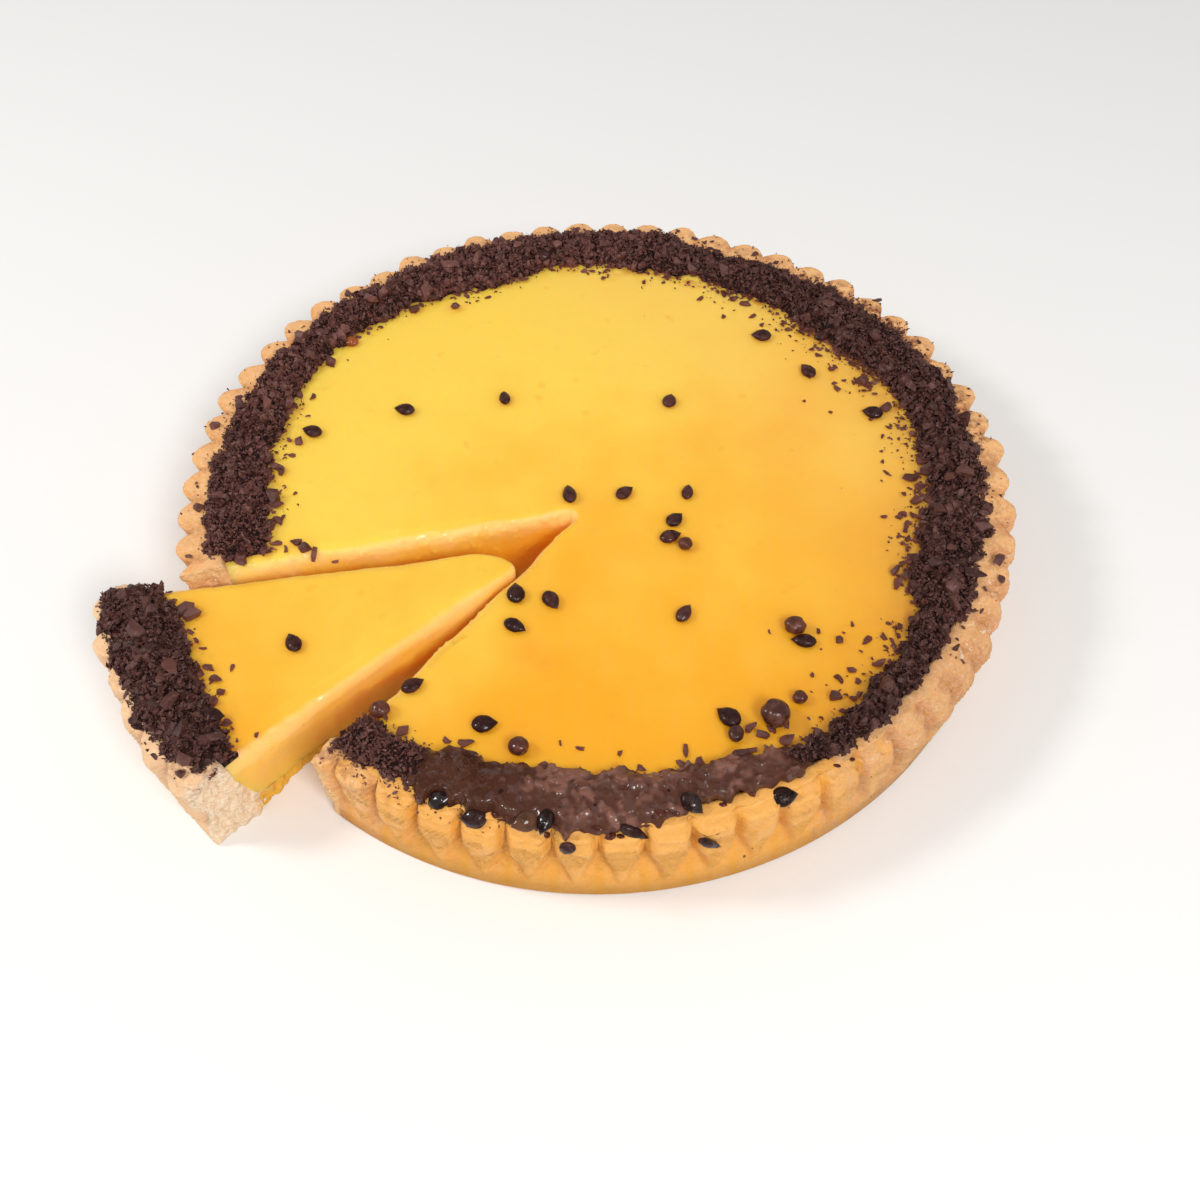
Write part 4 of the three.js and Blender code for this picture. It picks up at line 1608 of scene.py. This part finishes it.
# on the slice, in its own frame
sliceSeeds = [(-52.2, -47.6, 126, 1.0), (-65.3, -71.8, 10, 0.85)]


def seedFinish(name, dark, skin, shine):
    material, surface, place = newMaterial(name)
    mottle = noiseAt(place, 1.7 * mm)
    shade = attribute("tone") * 0.7 + (mottle - 0.5) * 1.4
    film = noiseAt(place, 2.1 * mm, 1.0)
    fillSockets(surface, {
        "Base Color": blendColor(ramp(shade, 0.1, 0.8), seedColors[dark], seedColors[skin]),
        "Roughness": ramp(mottle, 0.3, 0.7, 0.2, 0.42),
        "Specular IOR Level": 0.1,
        "Coat Weight": ramp(film, 0.55 - 0.1 * shine, 0.65 - 0.1 * shine, 0.1, shine),
        "Coat IOR": 1.5,
        "Coat Roughness": 0.05,
        "Normal": bumpFrom(cellsAt(place, 0.5 * mm), 0.12 * mm, 0.9)})
    return material


def syrupFinish(name, color, clear):
    material, surface, place = newMaterial(name)
    haze = noiseAt(place, 1.8 * mm)
    deeper = (*(part * 0.55 for part in color[:3]), 1)
    fillSockets(surface, {
        "Base Color": blendColor(ramp(haze, 0.35, 0.7), color, deeper),
        "Roughness": ramp(haze, 0.3, 0.7, 0.03, 0.1),
        "Transmission Weight": clear,
        "IOR": 1.36,
        "Normal": bumpFrom(haze, 0.1 * mm, 0.5)})
    return material


seedSkin = seedFinish("seedSkin", "dark", "skin", 0.5)
wetSeedSkin = seedFinish("wetSeedSkin", "wetDark", "wetSkin", 1.0)
syrup = syrupFinish("fruitSyrup", (0.12, 0.028, 0.016, 1), 0.2)
pulp = syrupFinish("seedPulp", seedColors["pulp"], 0.35)
redPulp = syrupFinish("redPulp", seedColors["redPulp"], 0.3)
seedKinds = kindCollection("seeds")
for i, width in enumerate(seed["widths"]):
    seedShape(seedKinds, i, width)


def seedPlace(ground, x, y, turn, size):
    hit, normal = dropTo(ground, x * mm, y * mm)
    upright = (normal + Vector((0, 0, 1.5))).normalized()
    return (hit + upright * (seed["thick"] / 2 * size - 0.4 * mm), standing(upright, turn), (size, size, size))


def caughtPlace(direction, distance, turn, lean):
    spot = polar(direction, distance * mm)
    hit, normal = dropTo(tartGround, spot.x, spot.y)
    upright = (normal * 0.5 + Vector((0, 0, 1)) + spot.normalized() * 0.45).normalized()
    return (hit + upright * 0.45 * mm, standing(upright, turn, lean), (1.05, 1.05, 1.05))


def wallPlace(direction, height, turn, stretch):
    outward = polar(direction, 1)
    start = outward * rayStart["out"] * mm + Vector((0, 0, height * mm))
    hit, normal, _, _ = tartGround.ray_cast(start, -outward)
    upright = (normal + outward * 0.6).normalized()
    # on the wall, turn is measured from the wall's own sideways direction
    sideways = polar(direction + 90, 1)
    up = upright.cross(sideways).normalized()
    along = sideways * math.cos(radians(turn)) + up * math.sin(radians(turn))
    frameOf = Matrix((along, upright.cross(along), upright)).transposed()
    return (hit + upright * 0.75 * mm, frameOf.to_euler(), stretch)


caught = [caughtPlace(*place) for place in caughtSeeds]
onWall = [wallPlace(*place) for place in wallSeeds]
seeds = placeAll("seeds", [seedPlace(tartGround, *place) for place in seedPlaces] + onWall, seedKinds, seedSkin)
wetSeeds = placeAll("wetSeeds", caught, seedKinds, wetSeedSkin)
sliceSeedsPiece = placeAll("sliceSeeds", [seedPlace(sliceGround, *place) for place in sliceSeeds], seedKinds,
                           seedSkin, 9)

# sacs of pulp that lost their seeds: one caught in the coat, a redder one on the custard
sacSpot, sacTurn, _ = caughtPlace(260.8, 106.8, 200, -12)
sacs = placeAll("seedSacs", [(sacSpot, sacTurn, (1.12, 1.18, 1.25))], seedKinds, pulp)
redSac = placeAll("redSac", [seedPlace(tartGround, -75.2, 60.1, 150, 0.9)], seedKinds, redPulp)

# small drops of syrup where the coat's edge shines: direction, distance, length, width
dropPlaces = [(256.8, 106.2, 1.4, 0.9), (258.5, 106.4, 0.9, 0.7), (269.6, 107.4, 1.8, 0.9),
              (271.4, 107.6, 1.0, 1.5), (277.4, 105.2, 1.5, 1.1), (278.4, 104.8, 1.0, 0.9),
              (279.4, 105.5, 1.2, 0.8), (276.6, 106.0, 0.8, 0.7), (285.6, 105.0, 1.2, 0.7),
              (289.5, 105.0, 1.0, 0.7), (301.5, 106.8, 1.3, 0.8), (303.8, 107.2, 1.0, 0.7),
              (262.0, 106.8, 1.0, 0.8), (264.6, 107.0, 1.3, 0.8), (263.4, 107.6, 1.2, 1.0),
              (272.4, 108.0, 1.2, 0.8)]


def dropPlace(direction, distance, length, width):
    spot = polar(direction, distance * mm)
    hit, normal = dropTo(tartGround, spot.x, spot.y)
    return (hit + normal * 0.1 * mm, standing(normal, direction + 70), (length, width, 0.6 * width))


oneDrop = kindCollection("drops")
ballShape(oneDrop, 0, 0.8 * mm, 0.1 * mm, 0.7 * mm, 0.8, 3)
drops = placeAll("syrupDrops", [dropPlace(*place) for place in dropPlaces], oneDrop, syrup)
print("seeds ready:", len(seeds.data.polygons), "faces")


# round chocolate pearls: x, y, diameter, and how long each is for its width
pearls = {
    "big": [(42.5, -77.0, 7.2, 1.0)],
    "small": [(50, -50.3, 5.0, 1.1), (49.1, -71.6, 3.7, 1.0), (-19.4, -84.8, 4.9, 1.0),
              (-53.5, -73.8, 4.6, 1.1), (23.5, -22.5, 3.8, 1.05), (32.7, -81.8, 3.9, 1.15)],
}
pearlColors = {
    "dark": (0.040, 0.012, 0.008, 1),
    "milky": (0.110, 0.037, 0.026, 1),
    "red": (0.19, 0.040, 0.015, 1),
}


def pearlFinish():
    material, surface, place = newMaterial("pearlGlaze")
    smear = noiseAt(place, 2.4 * mm, 3.0, 0.6)
    color = blendColor(ramp(smear, 0.36, 0.66), pearlColors["dark"], pearlColors["milky"])
    fillSockets(surface, {
        "Base Color": blendColor(ramp(attribute("tone"), 0.3, 1.0) * 0.25, color, pearlColors["red"]),
        "Roughness": ramp(smear, 0.3, 0.7, 0.12, 0.34),
        "Specular IOR Level": 0.4,
        "Normal": bumpFrom(smear, 0.3 * mm, 0.9)})
    return material


pearlGlaze = pearlFinish()
pearlKinds = kindCollection("pearls")
for i in range(3):
    ballShape(pearlKinds, i, 0.5 * mm, 0.055 * mm, 0.30 * mm, 0.95, 4)


def pearlPlace(ground, x, y, diameter, longer):
    hit = dropTo(ground, x * mm, y * mm)[0]
    return (hit + Vector((0, 0, diameter * 0.38 * mm)), (0, 0, x),
            (diameter * longer, diameter, diameter * 0.9))


bigPearl = placeAll("chocolatePearl", [pearlPlace(tartGround, *place) for place in pearls["big"]], pearlKinds,
                    pearlGlaze)
smallPearls = placeAll("smallPearls", [pearlPlace(tartGround, *place) for place in pearls["small"]], pearlKinds,
                       pearlGlaze, 3)


# The larger bits that fell clear of the pile: x, y, length
fallen = {
    "lumps": [(-44, 76, 4.6), (-57, 75, 4), (-89.4, 31, 4.4), (-85.5, 18, 3.6), (79.2, 40, 5), (70.8, 45.5, 4),
              (66, 63, 3.6), (87.3, 0.7, 4.6), (90.8, 18, 3.6), (58, -71, 3.4), (36.5, -79.5, 3.6),
              (39.2, -81.5, 3.8), (-78.8, -21.3, 4.4), (-89.6, -22.6, 4.4), (78.5, -31.8, 4), (-50.8, 80, 3),
              (61, -54, 3.6), (84.5, 29, 3.8), (-95.5, -25, 5), (-109.7, 22.4, 3.6), (-109.3, -8.4, 3.8),
              (105.7, -35.4, 4.2), (-8.5, 96, 3), (-90.2, 7.3, 4.5), (-88.8, 5.6, 3.4), (-90.2, -4, 5),
              (-88.6, -6.2, 4), (-89, -13.5, 4.2), (-87.2, -12, 3), (-80.9, -19.8, 3.8), (-79.2, -21.8, 3.2),
              (-90.1, 32, 4)],
    # broad plates bedded in the pile
    "plates": [(101.6, 7.6, 6), (101.3, -1.2, 5.5), (98.1, -36, 5.5), (104.5, -30.7, 5), (95.5, 17.6, 4.5),
               (93.4, -28.2, 5), (90.1, -47.2, 5), (92.9, 34.6, 4.5), (103, -16.4, 5), (84, 55, 5),
               (72, 70, 4.5), (3.5, 102, 5), (-12, 101, 4.5), (-24, 99, 5.5), (-37, 95, 5), (-46, 91, 5.5),
               (-58, 83, 5), (-70, 73, 5.5), (-83, 59, 4.5)],
    "flakes": [(47, 76, 4.5), (44, 79, 2.8), (49, 70, 2.8), (71.3, 37.4, 3.2), (84.4, 21.1, 2.6),
               (82, 17.4, 3.2), (88.8, 20.8, 2.6), (91.9, 7.6, 6.0), (92.9, 3.8, 5.0), (89.3, -2, 3.4),
               (88, -7.2, 6.0), (92.3, -7.4, 4.5), (88.4, -12.1, 4.5), (82.3, -13, 2.6), (78.1, -12.9, 2.4),
               (83.4, -17.3, 6.0), (78.6, -35.6, 5.0), (80.6, -29.5, 3), (80.9, -38.2, 2.4), (83, -41.2, 3),
               (72.5, -53, 3), (68, -54, 3), (70, -61, 4), (63, -63, 3), (56, -51, 2.4), (43.5, -51, 2.4),
               (65, -49, 2), (33, -82, 3.6), (41.5, -79.5, 3), (44.2, -83.3, 4), (36.6, -85.6, 3),
               (33.5, -88, 3.6), (20.6, -85.9, 4), (9.4, -90.2, 2.2), (-4.7, -84.6, 2.8), (-9.5, -83.1, 2.8),
               (-32.5, -82.9, 4.6), (-36.7, -82.3, 3), (-48, -79.5, 4), (-13.3, -89, 2.6), (19.1, -89.4, 3.4),
               (23.6, -89.2, 3.4), (14.9, -91.4, 2.4), (-30.3, -86.6, 3.6), (-70.9, -23.4, 2.6),
               (-83.8, -21.9, 4), (-86.5, -20, 3.6), (-89.5, -14.2, 4), (-81, -19.8, 3.4), (-80, 50.6, 4),
               (-83.8, 36.4, 3.4), (-34, 80.5, 2), (-1, 93, 2.4), (40, 70, 2.2), (81, 3.5, 2.6), (91, -61, 2.6),
               (89.5, -58, 3), (-108.8, -25.7, 3)],
    "curls": [(-90.4, 8, 4.4), (59.5, -65.5, 4.6), (-76.2, -22.2, 4.2), (-90.2, -6.4, 3.6), (-66.5, 74, 5.0),
              (83.5, -12, 3.4)],
    "slicePlates": [(-89.9, -43.8, 6), (-91.2, -51.6, 6.5), (-79.7, -60.2, 5), (-75, -70.5, 6),
                    (-86.9, -57.1, 5), (-93.8, -55.3, 5), (-69.8, -77.9, 5.5), (-62, -78.8, 4.5),
                    (-80.6, -65.5, 4.5), (-67, -84.8, 5)],
    "sliceLumps": [(-82.6, -40.7, 8.0), (-80.6, -42.0, 5.0), (-68.7, -60.3, 3.2), (-66.2, -63.9, 2.6),
                   (-68.1, -87.9, 3.2), (-99.5, -50, 4.4), (-92, -42.5, 5.0)],
    "sliceFlakes": [(-71.7, -57.1, 4.0), (-65.7, -56.4, 2), (-74.9, -51.5, 2.2), (-75.9, -83.8, 2.6),
                    (-79.5, -47, 3), (-73, -63, 3), (-67.4, -66.5, 3.2), (-95, -46, 5.5), (-88, -58, 5.0)],
}


def fallenPlaces(ground, places, typical, lift, flat):
    result = []
    for x, y, length in places:
        hit, normal = dropTo(ground, x * mm, y * mm)
        size = length / typical
        lean = Vector((draw.uniform(-0.2, 0.2), draw.uniform(-0.2, 0.2), 1))
        result.append((hit + normal * lift * size * mm,
                       standing((normal + lean).normalized(), draw.uniform(0, 360)),
                       (size, size * draw.uniform(0.7, 1.0), size * draw.uniform(0.8, 1.1) * flat)))
    return result


# name, where, shapes, their own length, how high they sit, how flat they lie, seed
fallenRows = [
    (loose, tartGround, (
        ("fallenLumps", "lumps", chunks, 2.9, 0.5, 1.0, 11),
        ("fallenFlakes", "flakes", flakes, 2.8, 0.2, 1.0, 12),
        ("beddedPlates", "plates", chunks, 2.9, 1.2, 0.5, 16),
        ("fallenCurls", "curls", shreds, 3.0, 0.6, 1.0, 13))),
    (sliceLoose, sliceGround, (
        ("sliceBeddedPlates", "slicePlates", chunks, 2.9, 1.2, 0.5, 17),
        ("sliceFallenLumps", "sliceLumps", chunks, 2.9, 0.5, 1.0, 14),
        ("sliceFallenFlakes", "sliceFlakes", flakes, 2.8, 0.2, 1.0, 15)))]
for pieces, ground, rows in fallenRows:
    for name, kind, shapes, typical, lift, flat, chosen in rows:
        places = fallenPlaces(ground, fallen[kind], typical, lift, flat)
        pieces.append(placeAll(name, places, shapes, dryChocolate, chosen))


# pale crumbs that cling where the pastry broke
def crumbCover(piece):
    values = [0.0] * len(piece.data.vertices)
    piece.data.attributes["cut"].data.foreach_get("value", values)
    lookup = iter(values)
    return lambda point, normal: next(lookup) * (point.z > 2 * mm)


crumbPastry = crustFinish("crumbPastry", crustLooks["crumbs"])
crustCrumbs = scatter("crustCrumbs", crust, crumbCover(crust), crumbs, 0.16, (0.35, 0.9), 1.4, 0.0, 0, 187,
                      crumbPastry)
sliceCrustCrumbs = scatter("sliceCrustCrumbs", sliceCrust, crumbCover(sliceCrust), crumbs, 0.5, (0.35, 1.1),
                           1.4, 0.0, 0, 199, crumbPastry)


# juice soaked a little way into the custard round whatever lay on it
def markStains(piece, spots):
    def stain(point, normal):
        near = 0.0
        for x, y, size in spots:
            away = math.hypot(point.x / mm - x, point.y / mm - y)
            if away < 12:
                near = max(near, math.exp(-((away / (2.6 + size * 0.6)) ** 2)) * min(1, 0.25 + size / 9))
        return near * smooth(0.5, 0.9, normal.z)

    mark(piece, "stain", stain)


seedStains = [(x, y, 2.2) for x, y, _, _ in seedPlaces]
pearlStains = [(x, y, diameter) for x, y, diameter, _ in pearls["big"] + pearls["small"]]
lumpStains = [(x, y, 1.5) for x, y, _ in fallen["lumps"]]
markStains(custard, seedStains + pearlStains + lumpStains + [(-17.5, -56, 4), (-14, -59, 3)])
markStains(sliceCustard, [(x, y, 2.2) for x, y, _, _ in sliceSeeds] + [(-82.3, -40.9, 4.5)])


# cocoa bled into the custard along the pile's inner edge, most of all to the right
def markHalo(piece, pile, name, strength, reach):
    def halo(point, normal):
        direction = directionOf(point.x, point.y)
        within = max(0, around(pile["inner"], direction) - point.xy.length / mm)
        onTop = inArc(pile, direction) * smooth(0.5, 0.9, normal.z)
        return around(strength, direction) * onTop * math.exp(-within / reach)

    mark(piece, name, halo)


markHalo(custard, piles["tart"], "halo", {
    0: 0.8, 40: 0.9, 75: 0.8, 110: 0.4, 190: 0.4, 232: 0.3, 250: 0.1, 300: 0.3, 320: 0.6}, 1.8)
markHalo(custard, piles["tart"], "bleed", {
    0: 0.6, 25: 0.4, 50: 0.15, 80: 0.05, 200: 0.05, 230: 0.2, 250: 0.1, 285: 0.15, 315: 0.7, 340: 0.8}, 15)
markHalo(sliceCustard, piles["slice"], "halo", {180: 0.6, 240: 0.5}, 1.8)
markHalo(sliceCustard, piles["slice"], "bleed", {180: 0.1, 240: 0.1}, 15)
print("small pieces ready")

for child in list(shapeHolder.children):
    bpy.data.batch_remove(list(child.objects))
    bpy.data.collections.remove(child)
bpy.data.collections.remove(shapeHolder)

for piece in [sliceCrust, sliceCustard, sliceBed, sliceSeedsPiece, sliceCrustCrumbs] + slicePile + sliceLoose:
    piece.data.transform(tart["slicePlace"])

# piece, material slot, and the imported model's node that it stands for
made = [
    (crust, "crust", "crust"), (sliceCrust, "crust", "slice_crust"),
    (custard, "custard", "custard"), (sliceCustard, "custard", "slice_custard"),
    (bed, "chocolate", "chocolate_heap"), (sliceBed, "chocolate", "slice_chocolate_heap"),
    (bigPearl, "chocolate", "chocolate_pearl"),
]
for slot, pieces in (("chocolate", [wetCoat, smallPearls]), ("seed", [seeds, wetSeeds, sliceSeedsPiece]),
                     ("syrup", [sacs, redSac, drops]), ("crust", [crustCrumbs, sliceCrustCrumbs]),
                     ("chocolate", pile + slicePile + loose + sliceLoose)):
    made += [(piece, slot, None) for piece in pieces]
for piece, slot, node in made:
    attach(piece, "root")
    if node:
        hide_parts(node)
    print(piece.name, sum(len(p.vertices) - 2 for p in piece.data.polygons), "triangles")
